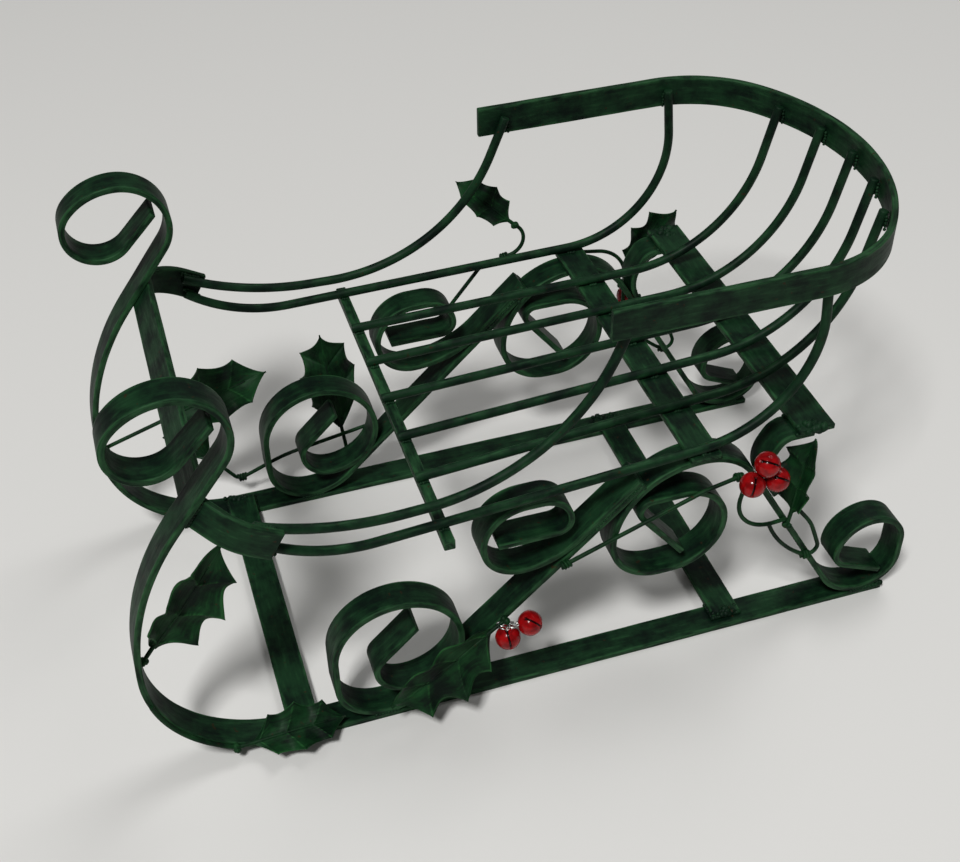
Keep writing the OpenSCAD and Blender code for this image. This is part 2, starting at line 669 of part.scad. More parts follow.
module leaf_shin_right() {
    leaf_at(right, off_face(on_nose(0.97)), track / 2, [-46, -18, 180], 1, stem_long);
}

// These two go on from the ends of their wires.
foot_end = path_end(wire_rows(foot_shares, arch_r), [on_brace(0.2)[0], on_brace(0.2)[1], -10]);
module leaf_foot_right() {
    leaf_at(right, go(foot_end, [lap + weld_gap, 0, 0]), wire_y, [-97, -foot_end[2], 0], leaf_least_share, stem_len);
}

arm_end = path_end(wire_rows(arm_shares, arch_r), arm_wire_start);
module leaf_arm_right() {
    leaf_at(right, go(arm_end, [lap + 2 * weld_gap, 0, 0]), arm_wire_y, [54, -arm_end[2], 22], leaf_least_share, stem_len / 2);
}

module leaf_brace_right() {
    leaf_at(right, on_brace(0.03), wire_y, [-149, -79, 62], 1, stem_long - 2 * stem_len);
}

// This one is tied to the outside of the wire above the bells.
module leaf_rear_right() {
    leaf_at(right, [arc_wire_end[0], arc_wire_end[1] + bell_d], arm_wire_y + wire_d + weld_gap, [97, -55, 175],
        leaf_small_share, stem_len);
}

// Jingle bell: a thin ball with a slit on the side away from its carrier
module bell(side, p, y) {
    color(red) on_side(side) translate([p[0], y, p[1]]) difference() {
        sphere(r = bell_r);
        sphere(r = bell_r - bell_t);
        translate([-bell_slit / 2, 0, -bell_r / 2]) cube([bell_slit, bell_d, bell_r]);
    }
}

// Two bells hang on the stem at the left brace, three on the wire over the left descent, three at the right wire's end.
pair_reach = bell_r + wire_r + weld_gap;
module bell_front_left(number) {
    level = stem_len / 2 * cos(brace_turns[1]);
    p = [brace_stem[0] + level * cos(brace_turns[2]) - pair_reach * cos(46) * sin(43),
        brace_stem[1] - stem_len / 2 * sin(brace_turns[1]) - pair_reach * sin(46), 151];
    y = wire_y + level * sin(brace_turns[2]) + pair_reach * cos(46) * cos(43);
    bell(left, go(p, [(number - 1) * (bell_d + weld_gap), 0, 0]), y);
}

bunch_r = (bell_d + weld_gap) / sqrt(3);
module bell_rear_left(number) {
    p = go([descent_top[0], descent_top[1], 100], [bell_r, 0, 0]);
    bell(left, go([p[0], p[1], 90 + number * 120], [bunch_r, 0, 0]), wire_y + pair_reach);
}

// The right bells stand as far out as the left ones, so they hang behind their wire.
bunch_side = sqrt(pow(pair_reach, 2) - pow(wire_y + pair_reach - arm_wire_y, 2));
module bell_rear_right(number) {
    p = [arc_wire_end[0] - bunch_side, arc_wire_end[1] + wire_d, 180 + number * 60];
    bell(right, number == 3 ? p : go(p, [bell_d + weld_gap, 0, 0]), wire_y + pair_reach);
}

// The whole sleigh stands with the middle of its length on the origin.
runner_front = nose_r + bar_t / 2;
heel_rear = stops(heel_rows, s_back_start)[4][0] - bar_t / 2;
middle_x = (runner_front + heel_rear) / 2;

translate([-middle_x, 0, 0]) {
    runner(left);  // runner_left
    runner(right);  // runner_right
    low_crossbar(low_front_x);  // low_crossbar_front
    low_crossbar(low_front_x - low_bar_spacing);  // low_crossbar_rear
    neck_crossbar();
    seat_crossbar_front();
    seat_crossbar_rear();
    square_bar();
    slat(1);  // slat_1
    slat(2);  // slat_2
    slat(3);  // slat_3
    slat(4);  // slat_4
    slat(5);  // slat_5
    side_rod(left);  // side_rod_left
    side_rod(right);  // side_rod_right
    arm_rod(left);  // arm_rod_left
    arm_rod(right);  // arm_rod_right
    rim();
    tab(left);  // tab_left
    tab(right);  // tab_right
    brace_scroll(left);  // brace_scroll_left
    brace_scroll(right);  // brace_scroll_right
    upper_scroll(left);  // upper_scroll_left
    upper_scroll(right);  // upper_scroll_right
    s_scroll(left);  // s_scroll_left
    s_scroll(right);  // s_scroll_right
    rear_strut(left);  // rear_strut_left
    rear_strut(right);  // rear_strut_right
    vine_left();
    vine_loop(left);  // vine_loop_left
    vine_right();
    vine_loop(right);  // vine_loop_right
    vine_foot_left();
    vine_foot_right();
    vine_arm_right();
    leaf_shin_left();
    leaf_foot_left();
    leaf_brace_left();
    leaf_rear_left();
    leaf_shin_right();
    leaf_foot_right();
    leaf_brace_right();
    leaf_rear_right();
    leaf_arm_right();
    bell_front_left(1);  // bell_front_left_1
    bell_front_left(2);  // bell_front_left_2
    bell_rear_left(1);  // bell_rear_left_1
    bell_rear_left(2);  // bell_rear_left_2
    bell_rear_left(3);  // bell_rear_left_3
    bell_rear_right(1);  // bell_rear_right_1
    bell_rear_right(2);  // bell_rear_right_2
    bell_rear_right(3);  // bell_rear_right_3
}
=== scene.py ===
from math import copysign, cos, hypot, pi, radians, sin, sqrt, tan, tau

import bpy
import numpy as np
from mathutils import Euler, Matrix, Vector


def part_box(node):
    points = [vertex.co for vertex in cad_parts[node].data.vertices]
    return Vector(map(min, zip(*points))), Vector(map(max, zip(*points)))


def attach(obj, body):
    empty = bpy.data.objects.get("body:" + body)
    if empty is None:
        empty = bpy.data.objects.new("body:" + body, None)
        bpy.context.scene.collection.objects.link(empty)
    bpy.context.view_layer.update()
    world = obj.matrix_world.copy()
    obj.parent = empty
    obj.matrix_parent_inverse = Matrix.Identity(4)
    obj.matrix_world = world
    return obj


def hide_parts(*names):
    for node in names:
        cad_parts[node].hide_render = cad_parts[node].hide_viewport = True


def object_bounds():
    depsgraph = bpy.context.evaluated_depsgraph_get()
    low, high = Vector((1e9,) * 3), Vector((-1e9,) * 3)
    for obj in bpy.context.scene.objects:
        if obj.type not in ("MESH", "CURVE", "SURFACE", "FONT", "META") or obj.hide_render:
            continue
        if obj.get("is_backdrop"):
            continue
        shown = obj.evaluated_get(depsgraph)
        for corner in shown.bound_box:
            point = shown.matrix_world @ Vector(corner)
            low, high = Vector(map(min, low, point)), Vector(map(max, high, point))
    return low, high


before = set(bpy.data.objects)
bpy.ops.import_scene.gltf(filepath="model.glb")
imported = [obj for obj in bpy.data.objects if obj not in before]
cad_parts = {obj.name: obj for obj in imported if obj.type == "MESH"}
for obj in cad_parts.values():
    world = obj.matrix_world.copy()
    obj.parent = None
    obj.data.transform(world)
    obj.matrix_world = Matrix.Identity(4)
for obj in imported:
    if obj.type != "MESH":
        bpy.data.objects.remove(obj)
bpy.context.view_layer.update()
scene = bpy.context.scene
scene.view_settings.view_transform = "Standard"


# Studio: a plain pale floor, a large soft lamp over the camera's left shoulder and a weaker one behind.
# The camera stands where the photograph was taken: from the sleigh's left, 41 degrees above the floor.
def linear(colour):
    """Linear RGBA of an sRGB hex colour."""
    c = np.array([int(colour[i : i + 2], 16) for i in (1, 3, 5)]) / 255
    c = np.where(c <= 0.04045, c / 12.92, ((c + 0.055) / 1.055) ** 2.4)
    return (*c.tolist(), 1.0)


def add(tree, kind, settings=None, links=None):
    """Adds a node and returns its outputs. Small-letter settings are its properties, the others its inputs,
    stops are those of a colour ramp, and links are sockets to join to its inputs."""
    node = tree.nodes.new("ShaderNode" + kind)
    for key, value in (settings or {}).items():
        if key == "stops":
            while len(node.color_ramp.elements) < len(value):
                node.color_ramp.elements.new(1.0)
            for element, (place, colour) in zip(node.color_ramp.elements, value):
                element.position, element.color = place, linear(colour)
        elif isinstance(key, str) and key[0].islower():
            setattr(node, key, value)
        else:
            node.inputs[key].default_value = value
    join(node, links or {})
    return node.outputs


def join(node, links):
    """Joins sockets to a node's inputs."""
    for key, socket in links.items():
        node.id_data.links.new(socket, node.inputs[key])


def new_finish(name, settings):
    """A material with its node tree and its shader, on which the settings are made."""
    material = bpy.data.materials.new(name)
    material.use_nodes = True
    shader = material.node_tree.nodes["Principled BSDF"]
    for key, value in settings.items():
        shader.inputs[key].default_value = value
    return material, material.node_tree, shader


CAMERA_PLACE = (0.1752, 0.5454, 0.5868)
CAMERA_AZIMUTH, CAMERA_HEIGHT, CAMERA_ROLL = np.radians([72.879, 40.722, -1.06])
PHOTO_WIDTH, FOCAL_PIXELS, SENSOR = 960, 1418.3, 36
camera = bpy.data.objects.new("camera", bpy.data.cameras.new("camera"))
scene.collection.objects.link(camera)
turn, tilt = CAMERA_AZIMUTH + pi / 2, pi / 2 - CAMERA_HEIGHT
camera.matrix_world = (Matrix.Translation(CAMERA_PLACE) @ Matrix.Rotation(turn, 4, "Z")
                       @ Matrix.Rotation(tilt, 4, "X") @ Matrix.Rotation(CAMERA_ROLL, 4, "Z"))
camera.data.sensor_width = SENSOR
camera.data.lens = SENSOR * FOCAL_PIXELS / PHOTO_WIDTH
camera.data.clip_start = 0.01
scene.camera = camera

floor_mesh = bpy.data.meshes.new("floor")
floor_mesh.from_pydata([(-8, -8, 0), (8, -8, 0), (8, 8, 0), (-8, 8, 0)], [], [(0, 1, 2, 3)])
floor = bpy.data.objects.new("floor", floor_mesh)
scene.collection.objects.link(floor)
floor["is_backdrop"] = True
# Matt white board: it spreads the light and shows only the sleigh's shadow.
pale_floor, _, _ = new_finish("pale_floor", {"Base Color": linear("#dcdbd8"), "Roughness": 0.6})
floor_mesh.materials.append(pale_floor)

LAMP_AIM = Vector((-0.02, 0.0, 0.1))
for lamp_name, place, size, power in (
    ("key_lamp", (1.39, 1.65, 3.4), 0.66, 122.0),
    ("back_lamp", (-1.63, -0.99, 3.2), 1.54, 32.0),
):
    lamp = bpy.data.objects.new(lamp_name, bpy.data.lights.new(lamp_name, "AREA"))
    lamp.data.size, lamp.data.energy = size, power
    scene.collection.objects.link(lamp)
    lamp.location = place
    lamp.rotation_euler = (Vector(place) - LAMP_AIM).to_track_quat("Z", "Y").to_euler()

world = bpy.data.worlds.new("studio")
scene.world = world
world.use_nodes = True
background = world.node_tree.nodes["Background"].inputs
background["Color"].default_value = linear("#eeeeec")
background["Strength"].default_value = 0.15


# Runners: 15.9 x 3.2 mm mild-steel flat bar, bent cold into a bow at the front and curled over forward.
# The whole frame is brushed with dark green oil paint, and a paler green is dragged dry over edges and tops;
# on the tops of rods, wires and weld beads that pale green is also a painted highlight.
# All sizes from here on are millimetres; skin turns them to metres.
BAR_W, BAR_T = 15.9, 3.2
# Gap that stands for the weld between two pieces
WELD = 0.2
# Runs from a cut end at which rings are set, so that the end draws in roundly
CUT_R = 0.5
CUT_STEPS = np.array([0.06, 0.2, CUT_R])
# Places in from a corner on a broad face, and how much dry brush they take
FADE_IN, FADE_MARK = np.array([0, 0.9, 2.2, 4.6]), np.array([1, 0.4, 0.08, 0])


def unit(v):
    """A vector, or each row of an array, at length 1."""
    return v / np.linalg.norm(v, axis=-1, keepdims=True)


def walk(place, row):
    """Place and heading (x, z, degrees) after one row: a straight run, or a bend radius and a turn. A bend
    goes round its centre, so x gains r (sin b - sin a) and z gains r (cos a - cos b)."""
    x, z, heading = place
    run, radius, turn = row
    a, b = radians(heading), radians(heading + turn)
    if turn == 0:
        return x + run * cos(a), z + run * sin(a), heading
    r = copysign(radius, turn)
    return x + r * (sin(b) - sin(a)), z + r * (cos(a) - cos(b)), heading + turn


def on_bar(bar, number, share):
    """Place and heading at a share of one row of a bent bar, which is its rows and its start."""
    rows, place = bar
    for row in rows[:number]:
        place = walk(place, row)
    run, radius, turn = rows[number]
    return walk(place, (share * run, radius, share * turn))


def bent_line(rows, start, step=1.5):
    """Middle line of a bent bar in its plane, as x, z, heading and run; a point's heading is its row's first
    heading plus curvature times the run within the row."""
    run = np.array([run if turn == 0 else radius * radians(abs(turn)) for run, radius, turn in rows])
    curve = np.array([0.0 if turn == 0 else copysign(1 / radius, turn) for _, radius, turn in rows])
    ends = np.cumsum(run)
    begins = ends - run
    s = [np.linspace(a, b, max(3, int((b - a) / step) + 1)) for a, b in zip(begins, ends)]
    s = np.unique(np.round(np.concatenate([*s, CUT_STEPS, ends[-1] - CUT_STEPS]), 5))
    stops = [start]
    for row in rows[:-1]:
        stops.append(walk(stops[-1], row))
    x0, z0, h0 = np.array(stops).T
    h0 = np.radians(h0)
    i = np.clip(np.searchsorted(ends, s, "right"), 0, len(rows) - 1)
    d, k = s - begins[i], curve[i]
    h = h0[i] + k * d
    bend = np.where(k == 0, 1.0, k)
    x = x0[i] + np.where(k == 0, d * np.cos(h0[i]), (np.sin(h) - np.sin(h0[i])) / bend)
    z = z0[i] + np.where(k == 0, d * np.sin(h0[i]), (np.cos(h0[i]) - np.cos(h)) / bend)
    return x, z, h, s


def skin(name, tubes, material):
    """One mesh of closed tubes. Each tube is rings of points [n, m, 3], an edge mark [n, m] and the run s
    [n]. Neighbouring rings are joined by four-sided faces and each end is closed by one flat face."""
    points, faces, marks, uv, smooth, base = [], [], [], [], [], 0
    for rings, edge, s in tubes:
        n, m = rings.shape[:2]
        spokes = rings[n // 2] - rings[n // 2].mean(0)
        ahead = rings[n // 2 + 1].mean(0) - rings[n // 2 - 1].mean(0)
        if (np.cross(spokes, np.roll(spokes, -1, 0)) @ ahead).sum() < 0:
            rings, edge = rings[:, ::-1], edge[:, ::-1]
        index = base + np.arange(n * m).reshape(n, m)
        beside = np.roll(index, -1, 1)
        faces += np.stack([index[:-1], beside[:-1], beside[1:], index[1:]], -1).reshape(-1, 4).tolist()
        faces += [index[0, ::-1].tolist(), index[-1].tolist()]
        smooth += [True] * ((n - 1) * m) + [False, False]
        around = np.linalg.norm(np.roll(rings[n // 2], -1, 0) - rings[n // 2], axis=1)
        v = np.concatenate([[0], np.cumsum(around)])
        grid = np.stack(np.broadcast_arrays(s[:, None], v[None]), -1)
        uv.append(np.stack([grid[:-1, :-1], grid[:-1, 1:], grid[1:, 1:], grid[1:, :-1]], 2).reshape(-1, 2))
        uv += [grid[0, m - 1 :: -1], grid[-1, :m]]
        points.append(rings.reshape(-1, 3))
        marks.append(np.broadcast_to(edge, (n, m)).ravel())
        base += n * m
    uv = (np.concatenate(uv) / 1000).astype(np.float32)
    marks = np.concatenate(marks).astype(np.float32)
    mesh = bpy.data.meshes.new(name)
    mesh.from_pydata((np.concatenate(points) / 1000).tolist(), [], faces)
    mesh.polygons.foreach_set("use_smooth", smooth)
    mesh.uv_layers.new(name="along").data.foreach_set("uv", uv.ravel())
    mesh.attributes.new("edge", "FLOAT", "POINT").data.foreach_set("value", marks)
    mesh.materials.append(material)
    mesh.update()
    piece = bpy.data.objects.new(name, mesh)
    scene.collection.objects.link(piece)
    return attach(piece, "root")


def bar_section(width, thick, corner=0.55):
    """Rounded rectangle: quarter circles at the corners, and points across the broad faces that hold the edge
    mark, which falls from 1 at the corners to 0."""
    w, t = width / 2 - corner, thick / 2 - corner
    quarter = np.radians(np.linspace(0, 90, 5))
    inner = FADE_IN[1:] if width > 2 * FADE_IN[-1] else np.array([0.4])
    fade = np.interp(inner, FADE_IN, FADE_MARK)
    across = np.concatenate([w - inner, (inner - w)[::-1]])
    b, c, mark = [], [], []
    for side_w, side_t, turn in ((1, 1, 0), (-1, 1, 90), (-1, -1, 180), (1, -1, 270)):
        a = quarter + radians(turn)
        b += [*(side_w * w + corner * np.cos(a))]
        c += [*(side_t * t + corner * np.sin(a))]
        mark += [1.0] * len(a)
        if turn in (0, 180):
            b += [*(side_w * across)]
            c += [side_t * thick / 2] * len(across)
            mark += [*fade, *fade[::-1]]
        else:
            b.append(side_w * width / 2)
            c.append(0.0)
            mark.append(0.8)
    return np.array(b), np.array(c), np.array(mark)


def uneven(s, seed):
    """Slow swell of hand-worked stock: three sine waves of 23, 57 and 131 mm, from -1 to 1."""
    waves = np.array([23.0, 57.0, 131.0])
    shift = np.random.default_rng(seed).uniform(0, tau, 3)
    return np.sin(s[:, None] * tau / waves + shift).mean(1)


def end_draw(s):
    """How far the surface draws in near both cut ends: a quarter circle."""
    end = np.minimum(s - s[0], s[-1] - s)
    return CUT_R - np.sqrt(np.clip(CUT_R**2 - np.clip(CUT_R - end, 0, CUT_R) ** 2, 0, None))


def bar_tube(middle, normal, across, s, seed, width=BAR_W, thick=BAR_T):
    """Flat bar carried along a line: the section spans the across and normal directions, swells a little and
    draws in at both cut ends."""
    b, c, mark = bar_section(width, thick)
    draw = end_draw(s)
    swell = 0.06 * uneven(s, seed)
    b = b * ((width / 2 - draw + swell) / (width / 2))[:, None]
    c = c * ((thick / 2 - draw + swell / 2) / (thick / 2))[:, None]
    rings = middle[:, None] + b[..., None] * across[:, None] + c[..., None] * normal[:, None]
    return rings, np.broadcast_to(mark, b.shape), s


def upright_frame(x, z, h, y):
    """Middle, normal and across directions of a line in an upright plane along the sleigh."""
    nil = np.zeros_like(x)
    middle = np.stack([x, nil + y, z], 1)
    normal = np.stack([-np.sin(h), nil, np.cos(h)], 1)
    return middle, normal, np.stack([nil, nil + 1, nil], 1)


def side_bar(rows, start, y, seed):
    """Flat bar bent in an upright plane along the sleigh, its width across the sleigh."""
    x, z, h, s = bent_line(rows, start)
    return bar_tube(*upright_frame(x, z, h, y), s, seed)


def cad_box(node):
    """Low and high corner of a node's box in the frame, in millimetres."""
    low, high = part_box(node)
    return np.array(low) * 1000, np.array(high) * 1000


def cad_middle(node):
    """Middle of a node's box."""
    return sum(cad_box(node)) / 2


def brushed_paint(name, under, coat, dry_brush_and_highlight, edge_share):
    """Brushed oil paint on steel, a little chalky: a near-black green under-coat shows between the streaks of
    the top coat, dry-brushed pale green sits on the edges, and the brush leaves fine ridges along a bar. On
    the tops of rods, wires and beads the pale green is also a painted highlight."""
    material, tree, shader = new_finish(name, {"Specular IOR Level": 0.11})
    place = add(tree, "TexCoord")
    mark = add(tree, "Attribute", {"attribute_name": "edge"})
    # cloudy patches about 15 mm across
    cloud = add(tree, "TexNoise", {"Scale": 65.0, "Detail": 4.0, "Roughness": 0.62},
                {"Vector": place["Object"]})
    # brush streaks about 18 mm long and 3 mm wide, which follow the bar on its own map
    along = add(tree, "Mapping", {"Scale": (55.0, 330.0, 1.0)}, {"Vector": place["UV"]})
    streak = add(tree, "TexNoise", {"Scale": 1.0, "Detail": 3.0, "Roughness": 0.65},
                 {"Vector": along["Vector"]})
    # chalky grain, drawn at 1 mm so that it shows
    grain = add(tree, "TexNoise", {"Scale": 1000.0, "Detail": 2.0}, {"Vector": place["Object"]})
    # the top coat covers where patches and streaks are thick
    thick = add(tree, "Math", {"operation": "MULTIPLY_ADD", 1: 0.45}, {0: streak["Fac"], 2: cloud["Fac"]})
    cover = add(tree, "MapRange", {"interpolation_type": "SMOOTHSTEP", "From Min": 0.52, "From Max": 0.9},
                {"Value": thick[0]})
    coats = add(tree, "Mix", {"data_type": "RGBA", 6: linear(under), 7: linear(coat)}, {0: cover["Result"]})
    # the dry brush catches edges first, then high streaks; on rods, wires and beads the edge mark is dry
    # brush together with a painted highlight on their tops
    drag = add(tree, "Math", {"operation": "MULTIPLY_ADD", 1: edge_share}, {0: mark["Fac"], 2: streak["Fac"]})
    more = add(tree, "Math", {"operation": "MULTIPLY_ADD", 1: 0.35}, {0: cloud["Fac"], 2: drag[0]})
    caught = {"interpolation_type": "SMOOTHSTEP", "From Min": 0.72, "From Max": 1.25, "To Max": 0.9}
    hit = add(tree, "MapRange", caught, {"Value": more[0]})
    # pale green where the mark is high: dry brush on edges, and on the tops of rods, wires and beads also a
    # painted highlight
    painted = add(tree, "Mix", {"data_type": "RGBA", 7: linear(dry_brush_and_highlight)}, {0: hit["Result"], 6: coats[2]})
    # rust through pin-holes, few and about 1.5 mm across
    pit = add(tree, "TexNoise", {"Scale": 330.0, "Detail": 2.0}, {"Vector": place["Object"]})
    spot = add(tree, "MapRange", {"From Min": 0.69, "From Max": 0.75, "To Max": 0.75}, {"Value": pit["Fac"]})
    rusty = add(tree, "Mix", {"data_type": "RGBA", 7: linear("#2c1c0e")}, {0: spot["Result"], 6: painted[2]})
    dull = add(tree, "MapRange", {"From Min": 0.3, "From Max": 0.7, "To Min": 0.62, "To Max": 0.44},
               {"Value": streak["Fac"]})
    ridge = add(tree, "Math", {"operation": "MULTIPLY_ADD", 1: 0.5}, {0: grain["Fac"], 2: streak["Fac"]})
    bump = add(tree, "Bump", {"Strength": 0.35, "Distance": 0.0003}, {"Height": ridge[0]})
    join(shader, {"Base Color": rusty[2], "Roughness": dull["Result"], "Normal": bump["Normal"]})
    return material


green_paint = brushed_paint("green_oil_paint", "#03120b", "#12301b", "#2c5633", 0.26)

SIDES = (("left", 1), ("right", -1))
TRACK_Y = 85.5
RUNNER_FLAT, NOSE_R = 331, 68
LOW_FRONT_X = cad_middle("low_crossbar_front")[0]
# The nose's bend starts a little ahead of the front low crossbar.
NOSE_X = LOW_FRONT_X + 4
runner_rows = [(RUNNER_FLAT, 0, 0), (0, NOSE_R, 90), (0, 148, 37), (41, 0, 0),
               (0, 24, -127), (0, 32, -48), (0, 17, -178), (23, 0, 0)]
runner_bar = (runner_rows, (NOSE_X - RUNNER_FLAT, BAR_T / 2, 0))
# Rows of a runner that carry other pieces
NOSE_ROW, SHIN_ROW, NECK_ROW = 1, 2, 3
for side_name, out in SIDES:
    runner = skin("runner_bar_" + side_name, [side_bar(*runner_bar, out * TRACK_Y, 11 + out)], green_paint)
    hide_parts("runner_" + side_name)


# Side frames: the same flat bar in four bent pieces a side. The S scroll makes ring, arch, descent and rear
# curl, the brace runs from the front scroll up to the arch, the upper scroll lies on the brace, and a strut
# holds the seat's rear. Each piece starts from the one that it is welded to.
def both_ways(start, ahead, behind):
    """Rows and start of one bar that was set out from a place in its middle: the rear part is run through
    backwards first."""
    place = (start[0], start[1], 180)
    for row in behind:
        place = walk(place, row)
    rows = [(run, radius, -turn) for run, radius, turn in behind[::-1]] + ahead
    return rows, (place[0], place[1], place[2] + 180)


REST_Z = BAR_T + WELD + BAR_T / 2
ARCH_TOP, ARCH_R, ARCH_FLAT, ARCH_REAR_R = 128.5, 43, 2, 32
DESCENT_TURN, HEEL_R = 60, 28
seat_front_high = cad_box("seat_crossbar_front")[1]
SEAT_FRONT_X = cad_middle("seat_crossbar_front")[0]
SEAT_REAR_X = cad_middle("seat_crossbar_rear")[0]
descent_angle = radians(DESCENT_TURN)
descent_drop = ARCH_TOP - REST_Z - (ARCH_REAR_R + HEEL_R) * (1 - cos(descent_angle))
descent = descent_drop / sin(descent_angle)
ring_rows = [(ARCH_FLAT, 0, 0), (0, ARCH_R, -90), (0, 27, -90), (6, 0, 0), (0, 27, -90), (0, 23.5, -90),
             (17, 0, 0), (0, 6, -128), (38, 0, 0)]
heel_rows = [(0, ARCH_REAR_R, DESCENT_TURN), (descent, 0, 0), (0, HEEL_R, -DESCENT_TURN), (0, 19.5, -90),
             (11, 0, 0), (0, 19.5, -90), (0, 19.5, -90), (0, 10, -65), (26, 0, 0)]
s_bar = both_ways((SEAT_FRONT_X, ARCH_TOP), ring_rows, heel_rows)
heel_bar = (heel_rows, (SEAT_FRONT_X, ARCH_TOP, 180))
descent_top = on_bar(heel_bar, 1, 0)

# The brace's straight lies on the arch and runs a little past it.
BRACE_R, BRACE_TURN, BRACE_LAP = 32, 44, 5
brace_sin, brace_cos = sin(radians(BRACE_TURN)), cos(radians(BRACE_TURN))
arch_x, arch_z = SEAT_FRONT_X + ARCH_FLAT, ARCH_TOP - ARCH_R
arch_out = ARCH_R + BAR_T + WELD
brace_up = REST_Z + BRACE_R * (1 - brace_cos) - arch_z
brace_x = arch_x + BRACE_R * brace_sin + (arch_out - brace_up * brace_cos) / brace_sin
brace_foot = walk((brace_x, REST_Z, 180), (0, BRACE_R, -BRACE_TURN))


def along_brace(place):
    """Run along the brace's straight from its lower end to the point beside a place."""
    return (brace_foot[0] - place[0]) * brace_cos + (place[1] - brace_foot[1]) * brace_sin


brace_len = along_brace((arch_x, arch_z)) + BRACE_LAP
front_scroll_rows = [(0, 24, 90), (18, 0, 0), (0, 32.4, 180), (0, 28, 90), (0, 16.5, 90), (0, 9, 45),
                     (27, 0, 0)]
brace_bar = both_ways((brace_x, REST_Z), front_scroll_rows, [(0, BRACE_R, -BRACE_TURN), (brace_len, 0, 0)])
brace_straight = ([(brace_len, 0, 0)], brace_foot)

# The upper scrolls' lowest places differ, so their bends on to the brace do too.
UPPER_Z = 83.6
UPPER_BACK = {"left": 116, "right": 109}
upper_rows = [(0, 20.4, 90), (0, 21.5, 90), (8, 0, 0), (0, 15, 90), (0, 7, 90), (30, 0, 0)]
upper_bars = {}
for side_name, back in UPPER_BACK.items():
    upper_x = LOW_FRONT_X - back
    height = (upper_x - brace_foot[0]) * brace_sin + (UPPER_Z - brace_foot[1]) * brace_cos - BAR_T - WELD
    bend = (0, height / (1 - brace_cos), -BRACE_TURN)
    rest = brace_len - along_brace(walk((upper_x, UPPER_Z, 180), bend))
    upper_bars[side_name] = both_ways((upper_x, UPPER_Z), upper_rows, [bend, (rest, 0, 0)])

# The strut leaves the descent and ends flat under the rear seat crossbar.
STRUT_START, STRUT_TOP_R, STRUT_TURN = 24, 9, 60
x, z, _ = walk(descent_top, (STRUT_START, 0, 0))
x, z, _ = walk((x, z, DESCENT_TURN + 90), (BAR_T + WELD, 0, 0))
strut_start = (x, z, DESCENT_TURN)
strut_rows = [(10, 0, 0), (0, 20, STRUT_TURN)]
bend_end = on_bar((strut_rows, strut_start), 1, 1)
strut_angle = radians(bend_end[2])
strut_z = cad_box("seat_crossbar_rear")[0][2] - WELD - BAR_T / 2
strut_rise = strut_z - bend_end[1] - STRUT_TOP_R * (1 + cos(strut_angle))
strut_rows += [(strut_rise / sin(strut_angle), 0, 0), (0, STRUT_TOP_R, 180 - bend_end[2])]
strut_rows += [(on_bar((strut_rows, strut_start), 3, 1)[0] - SEAT_REAR_X, 0, 0)]

for side_name, out in SIDES:
    for bar_name, node, (rows, start), seed in (
        ("brace_bar_", "brace_scroll_", brace_bar, 21),
        ("s_bar_", "s_scroll_", s_bar, 31),
        ("strut_bar_", "rear_strut_", (strut_rows, strut_start), 41),
        ("upper_bar_", "upper_scroll_", upper_bars[side_name], 51),
    ):
        bar = skin(bar_name + side_name, [side_bar(rows, start, out * TRACK_Y, seed + out)], green_paint)
        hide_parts(node + side_name)


# Crossbars: cut lengths of the same flat bar, and one thin square bar under the front ends of the slats.
# Each is laid across the side frames and welded down at its ends; one stands behind the runners' necks.
def cross_tube(middle, normal, across, length, seed, width=BAR_W, thick=BAR_T):
    """Straight bar across the sleigh about its middle, its section spanned by two fixed directions."""
    s = np.unique(np.concatenate([np.linspace(0, length, 60), CUT_STEPS, length - CUT_STEPS]))
    line = middle + np.stack([0 * s, s - length / 2, 0 * s], 1)
    return bar_tube(line, np.tile(normal, (len(s), 1)), np.tile(across, (len(s), 1)), s, seed, width, thick)


level_bars = ("low_crossbar_front", "low_crossbar_rear", "seat_crossbar_front", "seat_crossbar_rear",
              "square_bar")
for seed, node in enumerate(level_bars):
    low, high = cad_box(node)
    width, length, thick = high - low
    tube = cross_tube((low + high) / 2, (0, 0, 1), (1, 0, 0), length, 61 + seed, width, thick)
    bar = skin(node + "_bar", [tube], green_paint)
    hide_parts(node)

NECK_BAR_UP, NECK_BAR_LEN = 12, 170
x, z, heading = walk(on_bar(runner_bar, NECK_ROW, 0), (NECK_BAR_UP, 0, 0))
neck = np.array([x, 0, z])
neck_turn = radians(heading)
neck_up = np.array([cos(neck_turn), 0, sin(neck_turn)])
neck_back = np.array([-sin(neck_turn), 0, cos(neck_turn)])
# The plane behind the necks on which that crossbar and the tabs stand
NECK_OFF = BAR_T / 2 + WELD
tube = cross_tube(neck + neck_back * (NECK_OFF + BAR_T / 2), neck_back, neck_up, NECK_BAR_LEN, 71)
bar = skin("neck_crossbar_bar", [tube], green_paint)
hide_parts("neck_crossbar")


# Rods: 4.8 mm round bar. Five slats lie over the seat's crossbars and bend up into the back, two side rods
# and two arm rods run from the tabs at the front to the inside of the rim. All are welded where they cross.
ROD_R = 2.4


def rod_tube(middle, normal, across, s, radius, seed):
    """Round bar carried along a line, with rounded cut ends; the edge mark follows how far the surface faces
    up: dry brush on the top, and with it a painted highlight along the top line."""
    a = np.linspace(0, tau, 20, endpoint=False)
    r = radius - end_draw(s) + 0.03 * uneven(s, seed)
    out = np.cos(a)[:, None] * across[:, None] + np.sin(a)[:, None] * normal[:, None]
    # mark on the upward faces: dry brush together with a painted highlight along the top line
    return middle[:, None] + r[:, None, None] * out, 0.5 * np.clip(out[..., 2], 0, 1) ** 3, s


